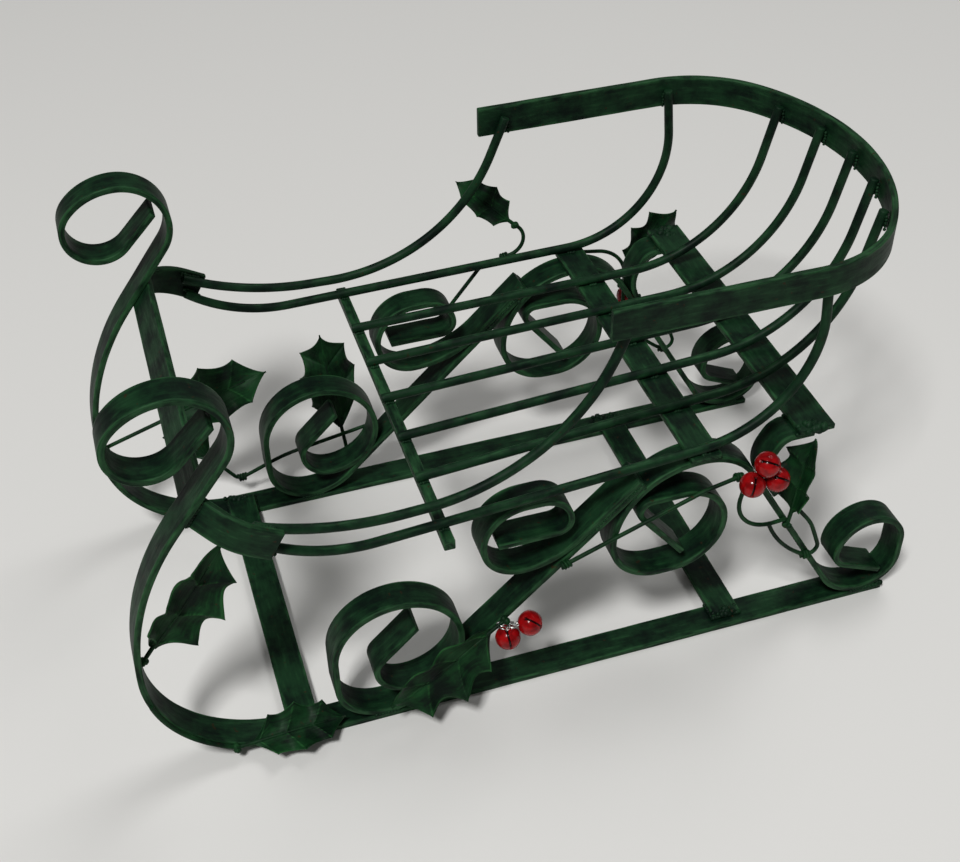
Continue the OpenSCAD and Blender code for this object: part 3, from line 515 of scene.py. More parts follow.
def upright_rod(begin, z, end, rows, slope, seed):
    """Round bar bent in the upright plane between two places in plan."""
    go = unit(np.array(end) - begin)
    d, z, h, s = bent_line(rows, (0, z, slope))
    nil = np.zeros_like(d)
    middle = np.stack([begin[0] + d * go[0], begin[1] + d * go[1], z], 1)
    normal = np.stack([-np.sin(h) * go[0], -np.sin(h) * go[1], np.cos(h)], 1)
    return rod_tube(middle, normal, np.stack([nil - go[1], nil + go[0], nil], 1), s, ROD_R, seed)


def legs(run, rise, radius, first, last):
    """Two straights beside a bend from slope first to slope last that together make a run and a rise."""
    a, b = radians(first), radians(last)
    x = run - radius * (sin(b) - sin(a))
    z = rise - radius * (cos(a) - cos(b))
    turn_sin = sin(b - a)
    return (x * sin(b) - z * cos(b)) / turn_sin, (z * cos(a) - x * sin(a)) / turn_sin


# The rods end inside the rim, so its plan is set out here: straight sides, corners and a round back.
RIM_TOP, RIM_W, RIM_SIDE, RIM_CORNER_R, RIM_CORNER_TURN = 231.5, 192.6, 99.7, 62, 55
RIM_FRONT_X = LOW_FRONT_X - 154.3
ROD_TOP = RIM_TOP - 5.5
corner_sin, corner_cos = sin(radians(RIM_CORNER_TURN)), cos(radians(RIM_CORNER_TURN))
rim_y = RIM_W / 2 - BAR_T / 2
rim_back_r = (rim_y - RIM_CORNER_R * (1 - corner_cos)) / corner_cos
rim_centre_x = RIM_FRONT_X - RIM_SIDE + (rim_back_r - RIM_CORNER_R) * corner_sin
# From the middle of the rim's bar to the middle of a rod inside it
ROD_IN = BAR_T / 2 + WELD + ROD_R

SLAT_SLOPE, SLAT_R, SLAT_BACK_SLOPE = 2.1, 78, 77
SLAT_PITCH, SLAT_TOP_PITCH, SLAT_LEAD = 31.3, 27.0, 4
slat_angle = radians(SLAT_SLOPE)
SQUARE_X = cad_middle("square_bar")[0]


def slat_z(x):
    """Height of the slats' middles at a place along the seat: a slope from the front seat crossbar's front
    edge."""
    rise = (seat_front_high[0] - x) * tan(slat_angle)
    return seat_front_high[2] + WELD + ROD_R / cos(slat_angle) + rise


rod_plans = {}
slat_x = SQUARE_X + SLAT_LEAD
for number in range(1, 6):
    step = 3 - number
    begin, top_y = np.array([slat_x, step * SLAT_PITCH]), step * SLAT_TOP_PITCH
    end = np.array([rim_centre_x - sqrt((rim_back_r - ROD_IN) ** 2 - top_y**2), top_y])
    run, rise = np.linalg.norm(begin - end), ROD_TOP - slat_z(slat_x)
    low_leg, up_leg = legs(run, rise, SLAT_R, SLAT_SLOPE, SLAT_BACK_SLOPE)
    rows = [(low_leg, 0, 0), (0, SLAT_R, SLAT_BACK_SLOPE - SLAT_SLOPE), (up_leg, 0, 0)]
    tube = upright_rod(begin, slat_z(slat_x), end, rows, SLAT_SLOPE, 80 + number)
    rod = skin("slat_rod_%d" % number, [tube], green_paint)
    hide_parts("slat_%d" % number)
    rod_plans["slat_%d" % number] = (begin, end)

# The tabs carry the rods' front ends, so their plan is set out here too, from the backs of the necks.
TAB_FOOT, TAB_R, TAB_TURN, TAB_END = 12, 28, 40, 10
TAB_Y = TRACK_Y + BAR_T
tab_rows = [(BAR_W / 2 + TAB_FOOT, 0, 0), (0, TAB_R, TAB_TURN), (TAB_END, 0, 0)]
tab_start = walk((0, 0, 180 - TAB_TURN), (-BAR_W / 2, 0, 0))
ROD_FRONT_X = LOW_FRONT_X + 10
rod_front_y = TAB_Y + on_bar((tab_rows, tab_start), 2, 1)[1] - ROD_IN

# Arm rods fall, level out and rise steeply; side rods fall, run up with the slats and rise past the upright.
ARM_FRONT_R, ARM_FRONT_SLOPE, ARM_REAR_R, ARM_BACK_SLOPE = 147, 27, 100, 68
ARM_UP, ARM_TOP_BACK = 25, 14
ARM_Z = seat_front_high[2] + ARM_UP
arm_end = np.array([RIM_FRONT_X - ARM_TOP_BACK, rim_y - ROD_IN])
arm_run = hypot(ROD_FRONT_X - arm_end[0], rod_front_y - arm_end[1])
run, z, _ = walk((0, ARM_Z, -ARM_FRONT_SLOPE), (0, ARM_FRONT_R, ARM_FRONT_SLOPE))
low_leg, up_leg = legs(arm_run - run, ROD_TOP - z, ARM_REAR_R, 0, ARM_BACK_SLOPE)
arm_rod_rows = [(0, ARM_FRONT_R, ARM_FRONT_SLOPE), (low_leg, 0, 0),
                (0, ARM_REAR_R, ARM_BACK_SLOPE), (up_leg, 0, 0)]

SIDE_FRONT_R, SIDE_FRONT_SLOPE, SIDE_REAR_R, SIDE_BACK_SLOPE = 80, 40, 60, 95
SIDE_TOP_BACK = 106.5
past_corner = SIDE_TOP_BACK - RIM_SIDE
side_y = rim_y - RIM_CORNER_R + sqrt((RIM_CORNER_R - ROD_IN) ** 2 - past_corner**2)
side_end = np.array([RIM_FRONT_X - SIDE_TOP_BACK, side_y])
side_bend = (0, SIDE_FRONT_R, SIDE_FRONT_SLOPE + SLAT_SLOPE)
run, fall, _ = walk((0, 0, -SIDE_FRONT_SLOPE), side_bend)
side_low_z = slat_z(ROD_FRONT_X - run)
SIDE_Z = side_low_z - fall
side_run = hypot(ROD_FRONT_X - side_end[0], rod_front_y - side_end[1])
low_leg, up_leg = legs(side_run - run, ROD_TOP - side_low_z, SIDE_REAR_R, SLAT_SLOPE, SIDE_BACK_SLOPE)
side_rod_rows = [side_bend, (low_leg, 0, 0), (0, SIDE_REAR_R, SIDE_BACK_SLOPE - SLAT_SLOPE), (up_leg, 0, 0)]

for side_name, out in SIDES:
    mirror = np.array([1, out])
    begin = mirror * (ROD_FRONT_X, rod_front_y)
    for node, z, end, rows, slope_down, seed in (
        ("side_rod_", SIDE_Z, side_end, side_rod_rows, SIDE_FRONT_SLOPE, 91),
        ("arm_rod_", ARM_Z, arm_end, arm_rod_rows, ARM_FRONT_SLOPE, 93),
    ):
        tube = upright_rod(begin, z, mirror * end, rows, -slope_down, seed + out)
        rod = skin(node + "bar_" + side_name, [tube], green_paint)
        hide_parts(node + side_name)
        rod_plans[node + side_name] = (begin, mirror * end)


# Rim and tabs: the rim is one flat bar on edge, bent round the back; each tab is a short bent bar, sloped
# down to the rear, that carries the front ends of two rods and is welded to the back of a runner's neck.
rim_half = [(0, RIM_CORNER_R, -RIM_CORNER_TURN), (RIM_SIDE, 0, 0)]
rim_rows = rim_half[::-1] + [(0, rim_back_r, 2 * RIM_CORNER_TURN - 180)] + rim_half
x, y, h, s = bent_line(rim_rows, (RIM_FRONT_X, -rim_y, 180))
nil = np.zeros_like(x)
middle = np.stack([x, y, nil + RIM_TOP - BAR_W / 2], 1)
normal = np.stack([-np.sin(h), np.cos(h), nil], 1)
rim = skin("rim_bar", [bar_tube(middle, normal, np.stack([nil, nil, nil + 1], 1), s, 101)], green_paint)
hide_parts("rim")

# A tab's first rings lie within the neck: they are dropped, and a copy of the next one is slid on to the
# plane behind the neck.
TAB_SLOPE, TAB_DROP, TAB_RINGS = radians(30), 13.5, 3
tab_place = neck + neck_back * NECK_OFF
for side_name, out in SIDES:
    x, y, h, s = bent_line(tab_rows, tab_start, 1.0)
    keep = s > TAB_DROP
    x, y, h, s = x[keep], y[keep], h[keep], s[keep]
    lean = np.array([[cos(TAB_SLOPE), 0, sin(TAB_SLOPE)], [0, out, 0],
                     [-sin(TAB_SLOPE), 0, cos(TAB_SLOPE)]])
    middle = np.stack([x, y, 0 * x], 1) @ lean + tab_place + (0, out * TAB_Y, 0)
    normal = np.stack([-np.sin(h), np.cos(h), 0 * h], 1) @ lean
    across = np.tile([0, 0, 1.0], (len(s), 1)) @ lean
    rings, edge, s = bar_tube(middle, normal, across, s, 105 + out)
    rings, edge = rings[TAB_RINGS:], edge[TAB_RINGS - 1 :]
    ahead = np.array([cos(h[0]), sin(h[0]), 0]) @ lean
    slide = ((rings[0] - neck) @ neck_back - NECK_OFF) / (ahead @ neck_back)
    rings = np.concatenate([(rings[0] - slide[:, None] * ahead)[None], rings])
    tab = skin("tab_bar_" + side_name, [(rings, edge, np.concatenate([s[:1], s[TAB_RINGS:]]))], green_paint)
    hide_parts("tab_" + side_name)


# Weld beads: short runs of arc weld where rods meet the rim and the crossbars, and where bar lies on bar.
# They were brushed with the same paint, so they show as rounded lumps in the corners.
def seam(begin, end, count, size):
    """Beads in a row between two points: place and radius of each."""
    t = np.linspace(0, 1, count)[:, None]
    return np.concatenate([np.array(begin) * (1 - t) + np.array(end) * t, np.full((count, 1), size)], 1)


def lumps(centre, reach, count, size, seed):
    """Beads in a heap: places scattered about the centre by a normal spread, sizes from 0.6 to 1.2 of the
    given one."""
    rng = np.random.default_rng(seed)
    places = rng.normal(centre, reach, (count, 3))
    return np.concatenate([places, size * rng.uniform(0.6, 1.2, (count, 1))], 1)


def bead_tubes(beads, seed):
    """Beads as uneven balls: radius times one plus a few per cent of noise, on rings from pole to pole."""
    rng = np.random.default_rng(seed)
    beads = np.concatenate(beads)
    beads[:, :3] += rng.normal(0, 0.12, (len(beads), 3))
    lat = np.radians(np.linspace(8, 172, 9))
    lat, lon = np.meshgrid(lat, np.linspace(0, tau, 12, endpoint=False), indexing="ij")
    ball = np.stack([np.sin(lat) * np.cos(lon), np.sin(lat) * np.sin(lon), np.cos(lat)], -1)
    size = beads[:, 3, None, None] * rng.uniform(0.85, 1.15, (len(beads), 1, 1))
    size = size * (1 + rng.normal(0, 0.05, (len(beads), *lat.shape)))
    points = beads[:, None, None, :3] + size[..., None] * ball
    # the mark grows towards each bead's top: dry brush, and with it a painted highlight on the upper side
    return [(p, np.clip(ball[..., 2], 0, 1) * 0.5, np.linspace(0, 4, len(lat))) for p in points]


# Rods at the rim, a seam up each flank
beads = []
for node, (_, (x, y)) in rod_plans.items():
    to_rim = unit([x - rim_centre_x if node.startswith("slat") else 0, y])
    for flank in (-1, 1):
        foot = np.array([x, y]) + to_rim * 1.5 + flank * 2.0 * np.array([-to_rim[1], to_rim[0]])
        beads.append(seam((*foot, RIM_TOP - BAR_W + 1.2), (*foot, ROD_TOP - ROD_R), 5, 0.8))

# Slats and side rods on the square bar and on the front seat crossbar
for bar_node in ("square_bar", "seat_crossbar_front"):
    x, z = cad_middle(bar_node)[0], cad_box(bar_node)[1][2] + 0.3
    for node, (begin, end) in rod_plans.items():
        if node.startswith("arm"):
            continue
        y = begin[1] + (end[1] - begin[1]) * (x - begin[0]) / (end[0] - begin[0])
        for flank in (-2.1, 2.1):
            beads.append(seam((x - 1.6, y + flank, z), (x + 1.6, y + flank, z), 4, 0.85))

# Seams along both edges of a side frame, as x and z of their ends, count and size: brace on runner, S scroll
# on runner, seat crossbar on arch, upper scroll on brace, strut on descent, strut under rear crossbar
edge_seams = (
    ((82.5, 3.5), (94, 3.5), 8, 1.1),
    ((-189, 3.5), (-177.5, 3.5), 8, 1.1),
    ((-83, 130.3), (-71, 130.3), 7, 0.95),
    ((-19.8, 98.5), (-45.0, 122.8), 16, 0.95),
    ((-120.6, 94.9), (-116.2, 102.4), 5, 1.0),
    ((-135.6, 132.3), (-126, 132.3), 6, 1.0),
)
# The rear crossbar's ends and the runners' rear ends were run over with weld: centre, spread, count and size.
heaps = (
    ((-135.9, 93.6, 134.0), (3.8, 0.9, 0.5), 16, 2.1),
    ((-135.4, 90.4, 134.6), (3.4, 1.8, 0.4), 18, 1.9),
    ((-192.5, 92.4, 3.4), (2.8, 0.8, 0.4), 10, 1.5),
    ((-187.0, 90.6, 4.4), (1.6, 1.4, 0.3), 5, 1.3),
)
INNER_Y, OUTER_Y = TRACK_Y - 7.5, TRACK_Y + 7.5
for _, out in SIDES:
    # Low crossbars on the runners, with a heap over each end
    for node in ("low_crossbar_front", "low_crossbar_rear"):
        low, high = cad_box(node)
        end_y, end_z, flank_z = out * high[1], BAR_T + 1.1, BAR_T + 0.8
        beads.append(seam((low[0] + 0.5, end_y, end_z), (high[0] - 0.5, end_y, end_z), 12, 1.35))
        for x in (low[0], high[0]):
            beads.append(seam((x, out * INNER_Y, flank_z), (x, end_y, flank_z), 7, 1.15))
        centre = ((low[0] + high[0]) / 2, out * (high[1] - 1.5), high[2] - 0.6)
        beads.append(lumps(centre, (4.0, 1.2, 0.4), 16, 1.7, 5 + out))
    # Neck crossbar and tab on the neck
    place = neck + neck_back * 2.6 + (0, out * (NECK_BAR_LEN / 2 + 0.1), 0)
    beads.append(seam(place - neck_up * 7.4, place + neck_up * 7.4, 11, 1.35))
    for face in (-2.4, 2.6):
        place = tab_place + neck_back * 0.7 + (0, out * (TAB_Y + face), 0)
        beads.append(seam(place - neck_up * 7, place + neck_up * 7, 10, 1.45))
    # Front ends of the rods on the tab
    for z, slope_down in ((ARM_Z, ARM_FRONT_SLOPE), (SIDE_Z, SIDE_FRONT_SLOPE)):
        x, drop, _ = walk((0, 0, 180 + slope_down), (9, 0, 0))
        for lift in (-1.9, 1.9):
            place = np.array([ROD_FRONT_X - 0.2, out * 100.4, z + lift])
            beads.append(seam(place, place + (x, 0, drop), 7, 1.15))
    for y in (out * INNER_Y, out * OUTER_Y):
        for (x0, z0), (x1, z1), count, size in edge_seams:
            beads.append(seam((x0, y, z0), (x1, y, z1), count, size))
    # Brace on arch, across both
    for x, z in ((-41.6, 115.3), (-46.6, 120.1)):
        beads.append(seam((x, out * (INNER_Y + 0.2), z), (x, out * (OUTER_Y - 0.2), z), 9, 1.1))
    for (x, y, z), reach, count, size in heaps:
        beads.append(lumps((x, out * y, z), reach, count, size, 31 * count))
welds = skin("weld_beads", bead_tubes(beads, 7), green_paint)


# Wires: soft iron wire, 2.2 mm, bent by hand against the outer edges of the side frames to carry leaves and
# bells. Thinner wire is wound round them where they cross or end. Their green is the leaves', a little
# brighter than the frame's.
WIRE_R = 1.1
WIRE_Y = TRACK_Y + BAR_W / 2 + WELD + WIRE_R
leaf_paint = brushed_paint("leaf_oil_paint", "#031009", "#11361a", "#2b5e30", 0.3)


def side_wire(rows, start, y, seed):
    """Round wire bent in an upright plane along the sleigh."""
    x, z, h, s = bent_line(rows, start, 0.8)
    return rod_tube(*upright_frame(x, z, h, y), s, WIRE_R, seed)


def loop_tube(points, square, radius):
    """Thin wire through points; its section is squared against a fixed direction that the wire never runs
    along."""
    ahead = unit(np.gradient(points, axis=0))
    normal = unit(np.cross(square, ahead))
    across = np.cross(ahead, normal)
    a = np.linspace(0, tau, 10, endpoint=False)[:, None]
    rings = points[:, None] + radius * (np.cos(a) * normal[:, None] + np.sin(a) * across[:, None])
    s = np.concatenate([[0], np.cumsum(np.linalg.norm(np.diff(points, axis=0), axis=1))])
    return rings, np.zeros(rings.shape[:2]), s


def winding(place, along, turns, radius, pitch, wire):
    """Helix of thin wire round a wire: a circle of the radius that moves along by the pitch each turn."""
    along = unit(along)
    first = unit(np.cross(along, (0.3, 0.9, 0.1)))
    second = np.cross(along, first)
    t = np.linspace(0, tau * turns, int(24 * turns))[:, None]
    circle = radius * (np.cos(t) * first + np.sin(t) * second)
    return loop_tube(place + circle + along * (t / tau - turns / 2) * pitch, along, wire)


vine_rows = [(74.82, 0, 0), (0, 60.2, 8), (12.04, 0, 0), (0, 4.73, 113), (9.89, 0, 0), (0, 19.78, -105),
             (6.2, 0, 0)]
loop_rows = [(4.2, 0, 0), (0, 60.2, -29), (3.87, 0, 0), (0, 5.16, -147), (12.04, 0, 0), (0, 39.99, -16),
             (8.6, 0, 0)]
foot_rows = [(49.88, 0, 0), (0, 79.98, -12), (18.06, 0, 0), (0, 5.16, 77), (12.9, 0, 0)]
arm_wire_rows = [(3.01, 0, 0), (0, 10.32, -130), (0.86, 0, 0)]
arc_rows = [(39.99, 0, 0), (0, 9.89, 52), (20.21, 0, 0), (0, 150.5, 9), (22.79, 0, 0), (0, 21.07, 80),
            (21.93, 0, 0)]

# Starts of the wires: on the brace, over the descent, on the nose, and on the outside of the right side rod
LOOP_AHEAD, LOOP_BACK = 9.46, 3.34
vine_start = (*on_bar(brace_straight, 0, 0.63)[:2], 159)
foot_start = (*on_bar(brace_straight, 0, 0.2)[:2], -10)
x, z, _ = on_bar(heel_bar, 1, 0.423)
loop_start = walk((x + LOOP_AHEAD, z, 246), (-LOOP_BACK, 0, 0))
# The left foot's wire follows the nose from one share of its bend to another and stops at the leaf's stem.
NOSE_WIRE_TOP, NOSE_WIRE_LOW, NOSE_LEAF, NOSE_STOP = 0.86, 0.36, 0.3, 0.7
x, z, heading = on_bar(runner_bar, NOSE_ROW, NOSE_WIRE_TOP)
nose_start = (x, z, heading + 180)
nose_tip = NOSE_R * tan(radians(90 * (NOSE_WIRE_LOW - NOSE_LEAF))) - NOSE_STOP
nose_rows = [(0, NOSE_R, 90 * (NOSE_WIRE_LOW - NOSE_WIRE_TOP)), (nose_tip, 0, 0)]
arm_wire_x = SQUARE_X - 2 * ARCH_R - BAR_W / 2
arm_wire_share = (ROD_FRONT_X - arm_wire_x) / (ROD_FRONT_X - side_end[0])
ARM_WIRE_Y = rod_front_y + (side_end[1] - rod_front_y) * arm_wire_share + ROD_R + WELD + WIRE_R
arm_wire_start = (arm_wire_x, slat_z(arm_wire_x), 170)
arc_start = (arm_wire_x + 0.96 * ARCH_R, slat_z(arm_wire_x) - 0.86 * ARCH_R, 129)
# Rows, start, distance out from the middle, and the shares of the wire at which thin wire is wound round it
for seed, (node, rows, start, y, knots) in enumerate((
    ("vine_left", vine_rows, vine_start, WIRE_Y, (0.03, 0.62)),
    ("vine_loop_left", loop_rows, loop_start, WIRE_Y, (0.5,)),
    ("vine_loop_right", loop_rows, loop_start, -WIRE_Y, (0.5,)),
    ("vine_foot_left", nose_rows, nose_start, WIRE_Y, ()),
    ("vine_foot_right", foot_rows, foot_start, -WIRE_Y, (0.82,)),
    ("vine_arm_right", arm_wire_rows, arm_wire_start, -ARM_WIRE_Y, (0.06,)),
    ("vine_right", arc_rows, arc_start, -ARM_WIRE_Y, (0.9,)),
)):
    tube = side_wire(rows, start, y, 120 + seed)
    middle = tube[0].mean(1)
    ahead = np.gradient(middle, axis=0)
    at = [int(share * (len(middle) - 1)) for share in knots]
    wound = [winding(middle[i], ahead[i], turns=3.2, radius=1.75, pitch=1.5, wire=0.72) for i in at]
    wire = skin("wire_" + node[5:], [tube, *wound], leaf_paint)
    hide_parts(node)


# Holly leaves: cut from thin sheet steel, pressed so that the blade folds along the midrib and the side veins
# stand up, then soldered on to a wire stem. On each side three spines, bent up, stand between hollow bays.
LEAF_LEN, LEAF_W, LEAF_FOLD, LEAF_T = 64.0, 38.0, radians(28), 0.9
SPINE_X = np.array([0, 13.4, 32.0, 50.6, LEAF_LEN])
SPINE_W = np.array([0.08, 0.84, 1, 0.8, 0]) * LEAF_W / 2
BAY_DEPTH = np.array([1.4, 2.4, 2.6, 2.4])
LEAF_BOW, BOW_TOP = 6, 0.3


def blade_tube(share, stem):
    """Blade along X from the end of its stem, upper side to Z, on a grid of length x and width w. Half width
    runs straight from spine to spine less a round hollow. Height is the fold, rounded at the midrib, less a
    droop, plus waves along the edge, a bow along the length and ridges at the veins, less a sag between them
    and a groove at the midrib."""
    x = np.unique(np.concatenate([np.linspace(0.25, LEAF_LEN - 0.25, 140), SPINE_X[1:-1]]))
    bay = np.clip(np.searchsorted(SPINE_X, x, "right") - 1, 0, len(BAY_DEPTH) - 1)
    part = (x - SPINE_X[bay]) / (SPINE_X[bay + 1] - SPINE_X[bay])
    full = np.interp(x, SPINE_X, SPINE_W)
    half = np.maximum(full - BAY_DEPTH[bay] * np.sin(pi * part) ** 0.75, 0.5)
    v = np.linspace(-1, 1, 35)
    v = np.sign(v) * np.abs(v) ** 1.25
    w = half[:, None] * v
    t = np.abs(w) / np.maximum(full, 2.0)[:, None]
    x = np.broadcast_to(x[:, None], w.shape)
    u = x / LEAF_LEN
    wave = 2.4 * t**2 * np.cos(tau * (x - SPINE_X[2]) / (SPINE_X[2] - SPINE_X[1]) + 0.5 * np.sign(w))
    wave = wave + 1.6 * t**3 * np.cos(4 * pi * u + 1.1 * np.sign(w))
    bow = 0.6 - LEAF_BOW * (u - BOW_TOP) ** 2
    z = sin(LEAF_FOLD) * (np.sqrt(w**2 + 1.5) - 1.22) - 1.4 * t**2 + wave + bow
    vein, between = np.zeros_like(z), np.full(z.shape, 9.0)
    for vein_x, vein_w in zip([5.0, *SPINE_X[1:-1]], [14.0, *SPINE_W[1:-1]]):
        reach = np.clip(np.abs(w) / vein_w, 0, 1.1)
        off = x - (vein_x - 10 + 10 * reach**0.8)
        between = np.minimum(between, np.abs(off))
        vein = np.maximum(vein, np.exp(-((off / 0.7) ** 2)) * (reach < 1.05))
    sag = 0.2 * np.minimum(between, 6) * t * (1 - t) * 4
    groove = 0.5 * np.exp(-((w / 0.8) ** 2)) * (u < 0.95)
    z = z + 0.6 * vein - sag - groove
    border = np.clip((np.abs(v) - 0.88) / 0.12, 0, 1)
    mark = np.maximum(border, 0.85 * vein)
    top = np.stack([x, w * cos(LEAF_FOLD), z + LEAF_T / 2], -1)
    under = top - (0, 0, LEAF_T)
    rings = np.concatenate([top, under[:, ::-1]], 1) * share + (stem, 0, 0)
    return rings, np.concatenate([mark, 0.4 * mark[:, ::-1]], 1), x[:, 0] * share


def stem_tube(share, stem):
    """Stem along X from the origin, run on under the midrib: a round wire that thins out to 0.45 mm under the
    blade and follows its bow."""
    s = np.linspace(0, stem + 0.8 * LEAF_LEN * share, 60)
    thin = np.interp(s, [0, stem, s[-1]], [WIRE_R, WIRE_R, 0.45])[:, None]
    bow = np.where(s > stem, ((s - stem) / LEAF_LEN / share - BOW_TOP) ** 2, BOW_TOP**2)
    drop = np.interp(s, [0, stem, s[-1]], [0, -0.2, 0]) - LEAF_BOW * share * bow + 0.45 * share
    drop = (drop * np.clip(s / stem, 0, 1))[:, None]
    a = np.linspace(0, tau, 12, endpoint=False)
    along = np.broadcast_to(s[:, None], (len(s), len(a)))
    return np.stack([along, thin * np.cos(a), drop + thin * np.sin(a)], -1), np.full(along.shape, 0.2), s


def off_face(place):
    """The point beside a place on a bar at which a stem lies on the bar's inner face."""
    return walk((place[0], place[1], place[2] + 90), (BAR_T / 2 + WELD + WIRE_R, 0, 0))


# Places that carry the leaves; two of them go on from the ends of their wires, one is tied above the bells.
STEM, STEM_LONG = 8, 35
SMALL, LEAST = 0.75, 0.6
shin_left = off_face(on_bar(runner_bar, SHIN_ROW, 0.08))
shin_right = off_face(on_bar(runner_bar, NOSE_ROW, 0.97))
foot_left = on_bar(runner_bar, NOSE_ROW, NOSE_LEAF)
foot_right = walk(on_bar((foot_rows, foot_start), -1, 1), (0.5, 0, 0))
arm_right = walk(on_bar((arm_wire_rows, arm_wire_start), -1, 1), (0.7, 0, 0))
arc_end = on_bar((arc_rows, arc_start), -1, 1)
BELL_R = 6.5
rear_right = (arc_end[0], arc_end[1] + 2 * BELL_R)
ABOVE_Y = ARM_WIRE_Y + 2 * WIRE_R + WELD
for node, (x, z, *_), y, turns, share, stem in (
    ("leaf_shin_left", shin_left, TRACK_Y, (97, -50, -174), 1, STEM),
    ("leaf_foot_left", foot_left, WIRE_Y, (27, -2, 181), SMALL, STEM),
    ("leaf_brace_left", on_bar(brace_straight, 0, 0.36), WIRE_Y, (-78, 28, 10), 1, STEM),
    ("leaf_rear_left", on_bar(heel_bar, 1, 0.43), WIRE_Y, (13, -84, 180), SMALL, STEM),
    ("leaf_shin_right", shin_right, TRACK_Y, (-46, -18, 180), 1, STEM_LONG),
    ("leaf_foot_right", foot_right, WIRE_Y, (-97, -foot_right[2], 0), LEAST, STEM),
    ("leaf_brace_right", on_bar(brace_straight, 0, 0.03), WIRE_Y, (-149, -79, 62), 1, STEM_LONG - 2 * STEM),
    ("leaf_rear_right", rear_right, ABOVE_Y, (97, -55, 175), SMALL, STEM),
    ("leaf_arm_right", arm_right, ARM_WIRE_Y, (54, -arm_right[2], 22), LEAST, STEM // 2),
):
    flip = (1, 1, 1) if node.endswith("left") else (1, -1, 1)
    # solder at the stem's foot
    solder = bead_tubes([lumps((0, 0, 0), 0.5, 6, 1.5, stem)], stem)
    tubes = [blade_tube(share, stem), stem_tube(share, stem), *solder]
    turned = np.array(Euler(np.radians(turns)).to_matrix())
    tubes = [((rings @ turned.T + (x, y, z)) * flip, mark, s) for rings, mark, s in tubes]
    leaf = skin("holly_" + node[5:], tubes, leaf_paint)
    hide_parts(node)


# Jingle bells: thin steel balls, 13 mm, pressed in two halves with a slit across the front half, dipped in
# red enamel. Bright tinned wire ties them to the stems.
# Red enamel: smooth and glossy, darker where it ran thick, and painted near black within the slit and its end
# holes as the shade of the hollow inside.
gloss = {"Coat Weight": 0.12, "Coat Roughness": 0.1, "Specular IOR Level": 0.15}
red_enamel, tree, shader = new_finish("red_enamel", gloss)
place = add(tree, "TexCoord")
mark = add(tree, "Attribute", {"attribute_name": "edge"})
# runs about 4 mm across
cloud = add(tree, "TexNoise", {"Scale": 260.0, "Detail": 3.0}, {"Vector": place["Object"]})
reds = add(tree, "ValToRGB", {"stops": [(0.3, "#620508"), (0.62, "#960b0f")]}, {"Fac": cloud["Fac"]})
# painted shade: the slit and its holes are coloured near black, standing in for the dark hollow inside the
# bell
painted_slit_shade = add(tree, "Mix", {"data_type": "RGBA", 7: linear("#120405")}, {0: mark["Fac"], 6: reds["Color"]})
dull = add(tree, "MapRange", {"From Min": 0.3, "From Max": 0.7, "To Min": 0.14, "To Max": 0.24},
           {"Value": cloud["Fac"]})
bump = add(tree, "Bump", {"Strength": 0.12, "Distance": 0.0003}, {"Height": cloud["Fac"]})
join(shader, {"Base Color": painted_slit_shade[2], "Roughness": dull["Result"], "Normal": bump["Normal"]})


def ease(v, inner, outer):
    """Smooth step from 1 within the inner bound to 0 past the outer one."""
    t = np.clip((outer - v) / (outer - inner), 0, 1)
    return t**2 * (3 - 2 * t)


def bell_tube(centre, front, slit_way):
    """Ball on rings about the slit's cross direction; the radius falls by 1.5 mm within the slit and the
    round holes at its two ends, and swells a little at the seam between the halves."""
    front = unit(front)
    way = unit(slit_way - np.dot(slit_way, front) * front)
    pole = np.cross(front, way)
    lat = np.radians(np.unique(np.concatenate([np.linspace(-86, 86, 40), np.linspace(-11, 11, 33)])))
    lon = np.linspace(-pi, pi, 96, endpoint=False)
    la, lo = np.meshgrid(lat, lon, indexing="ij")
    level = np.cos(lo)[..., None] * front + np.sin(lo)[..., None] * way
    aim = np.sin(la)[..., None] * pole + np.cos(la)[..., None] * level
    beside, reach = BELL_R * np.abs(la), np.degrees(np.abs(lo))
    hole = np.hypot(beside, BELL_R * np.radians(reach - 50))
    cut = np.maximum(ease(beside, 0.4, 0.62) * ease(reach, 49, 54), ease(hole, 0.8, 1.1))
    from_seam = np.degrees(np.arccos(np.clip(aim @ front, -1, 1))) - 90
    radius = BELL_R - 0.1 + 0.12 * np.exp(-((from_seam / 3.5) ** 2)) - 1.5 * cut
    # the cut also goes out as the mark for the painted shade in the slit and its holes
    return centre + radius[..., None] * aim, cut, lat * BELL_R


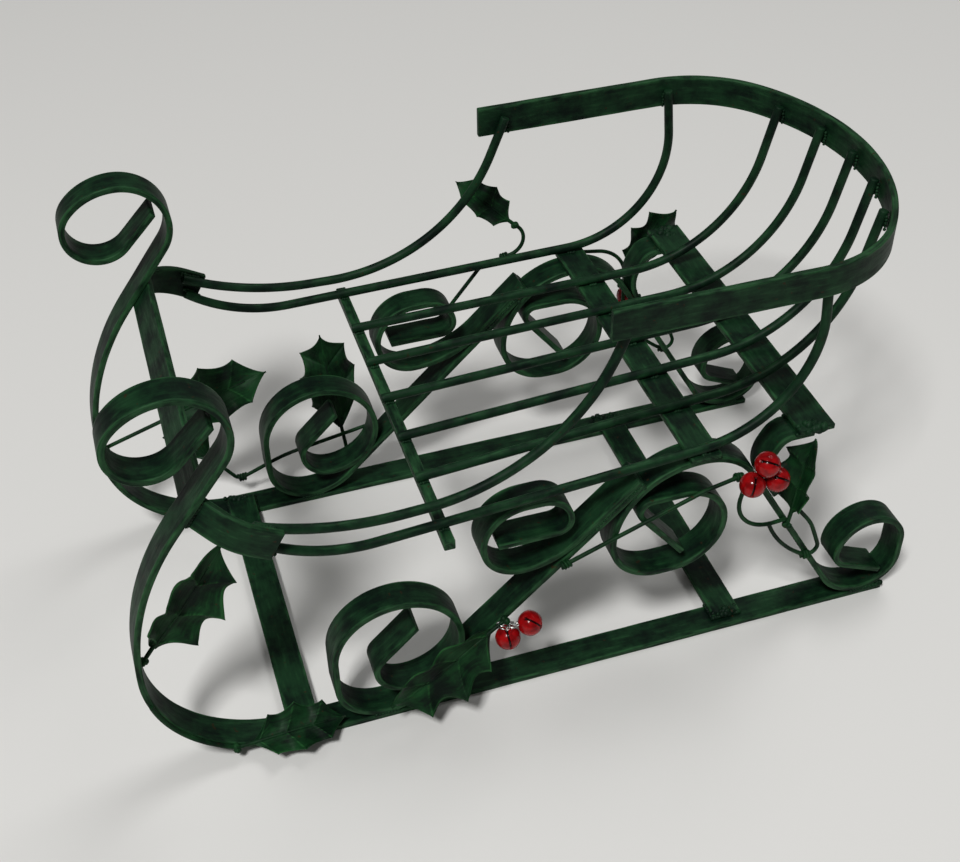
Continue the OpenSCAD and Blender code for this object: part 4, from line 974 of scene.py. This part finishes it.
# Each bell with the way its slit faces and the way its slit runs
for node, front, way in (
    ("bell_front_left_1", (0.15, 0.85, 0.5), (0.1, -0.4, 0.9)),
    ("bell_front_left_2", (-0.2, 0.7, 0.7), (0.75, -0.3, 0.6)),
    ("bell_rear_left_1", (-0.3, 0.8, 0.5), (0.7, 0.1, 0.6)),
    ("bell_rear_left_2", (0.3, 0.85, 0.45), (-0.3, -0.3, 0.9)),
    ("bell_rear_left_3", (0.0, 0.7, 0.7), (0.8, -0.2, 0.4)),
    ("bell_rear_right_1", (-0.4, -0.8, 0.3), (0.2, 0.2, 0.9)),
    ("bell_rear_right_2", (0.4, -0.8, 0.2), (0.6, 0.2, 0.7)),
    ("bell_rear_right_3", (0.1, -0.7, 0.6), (0.9, 0.1, 0.2)),
):
    bell = skin("jingle_" + node, [bell_tube(cad_middle(node), front, way)], red_enamel)
    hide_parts(node)

# Tinned wire: bare metal, drawn, so its grey is streaky and half dull.
tinned_wire, tree, shader = new_finish("tinned_wire", {"Metallic": 1.0, "Roughness": 0.32})
place = add(tree, "TexCoord")
# drawing marks, drawn at 1 mm so that they show
drawn = add(tree, "TexNoise", {"Scale": 900.0, "Detail": 2.0}, {"Vector": place["Object"]})
grey = add(tree, "ValToRGB", {"stops": [(0.3, "#8d8d8a"), (0.7, "#c9c9c5")]}, {"Fac": drawn["Fac"]})
join(shader, {"Base Color": grey["Color"]})


def tie_tube(first, second, bulge, seed):
    """Slack ring of thin wire round two things: an oval drawn between their places and crimped a little."""
    first, second = np.array(first), np.array(second)
    half = (second - first) / 2
    wide = unit(np.cross(half, (0.2, 0.3, 0.9))) * bulge
    lift = unit(np.cross(half, wide))
    t = np.linspace(0, tau, 60)[:, None]
    reach = 1 + 1.2 / np.linalg.norm(half)
    points = first + half + half * reach * np.cos(t) + wide * np.sin(t) + lift * 0.5 * np.sin(3 * t + seed)
    return loop_tube(points, lift, 0.42)


# Ties at the front left, rear left and rear right bells: the two places that each goes round, and half its
# width
tie_places = (
    ((28.4, 95.2, 51.6), (25.3, 98.7, 51.8), 1.6),
    ((27.6, 95.2, 52.0), (19.9, 99.3, 52.0), 1.5),
    ((24.5, 98.6, 51.8), (19.6, 99.1, 53.2), 1.2),
    ((-104.2, 95.6, 118.2), (-106.0, 101.0, 119.6), 1.7),
    ((-106.4, 100.2, 120.0), (-103.0, 102.2, 118.6), 1.4),
    ((-105.6, 100.4, 118.4), (-109.0, 102.2, 119.0), 1.4),
    ((-114.4, -97.6, 84.6), (-118.4, -101.0, 79.6), 1.7),
    ((-117.8, -100.6, 80.4), (-121.4, -102.0, 78.2), 1.3),
)
ties = [tie_tube(*row, seed) for seed, row in enumerate(tie_places)]
tie = skin("bell_ties", ties, tinned_wire)
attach(tie, "root")

low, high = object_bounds()
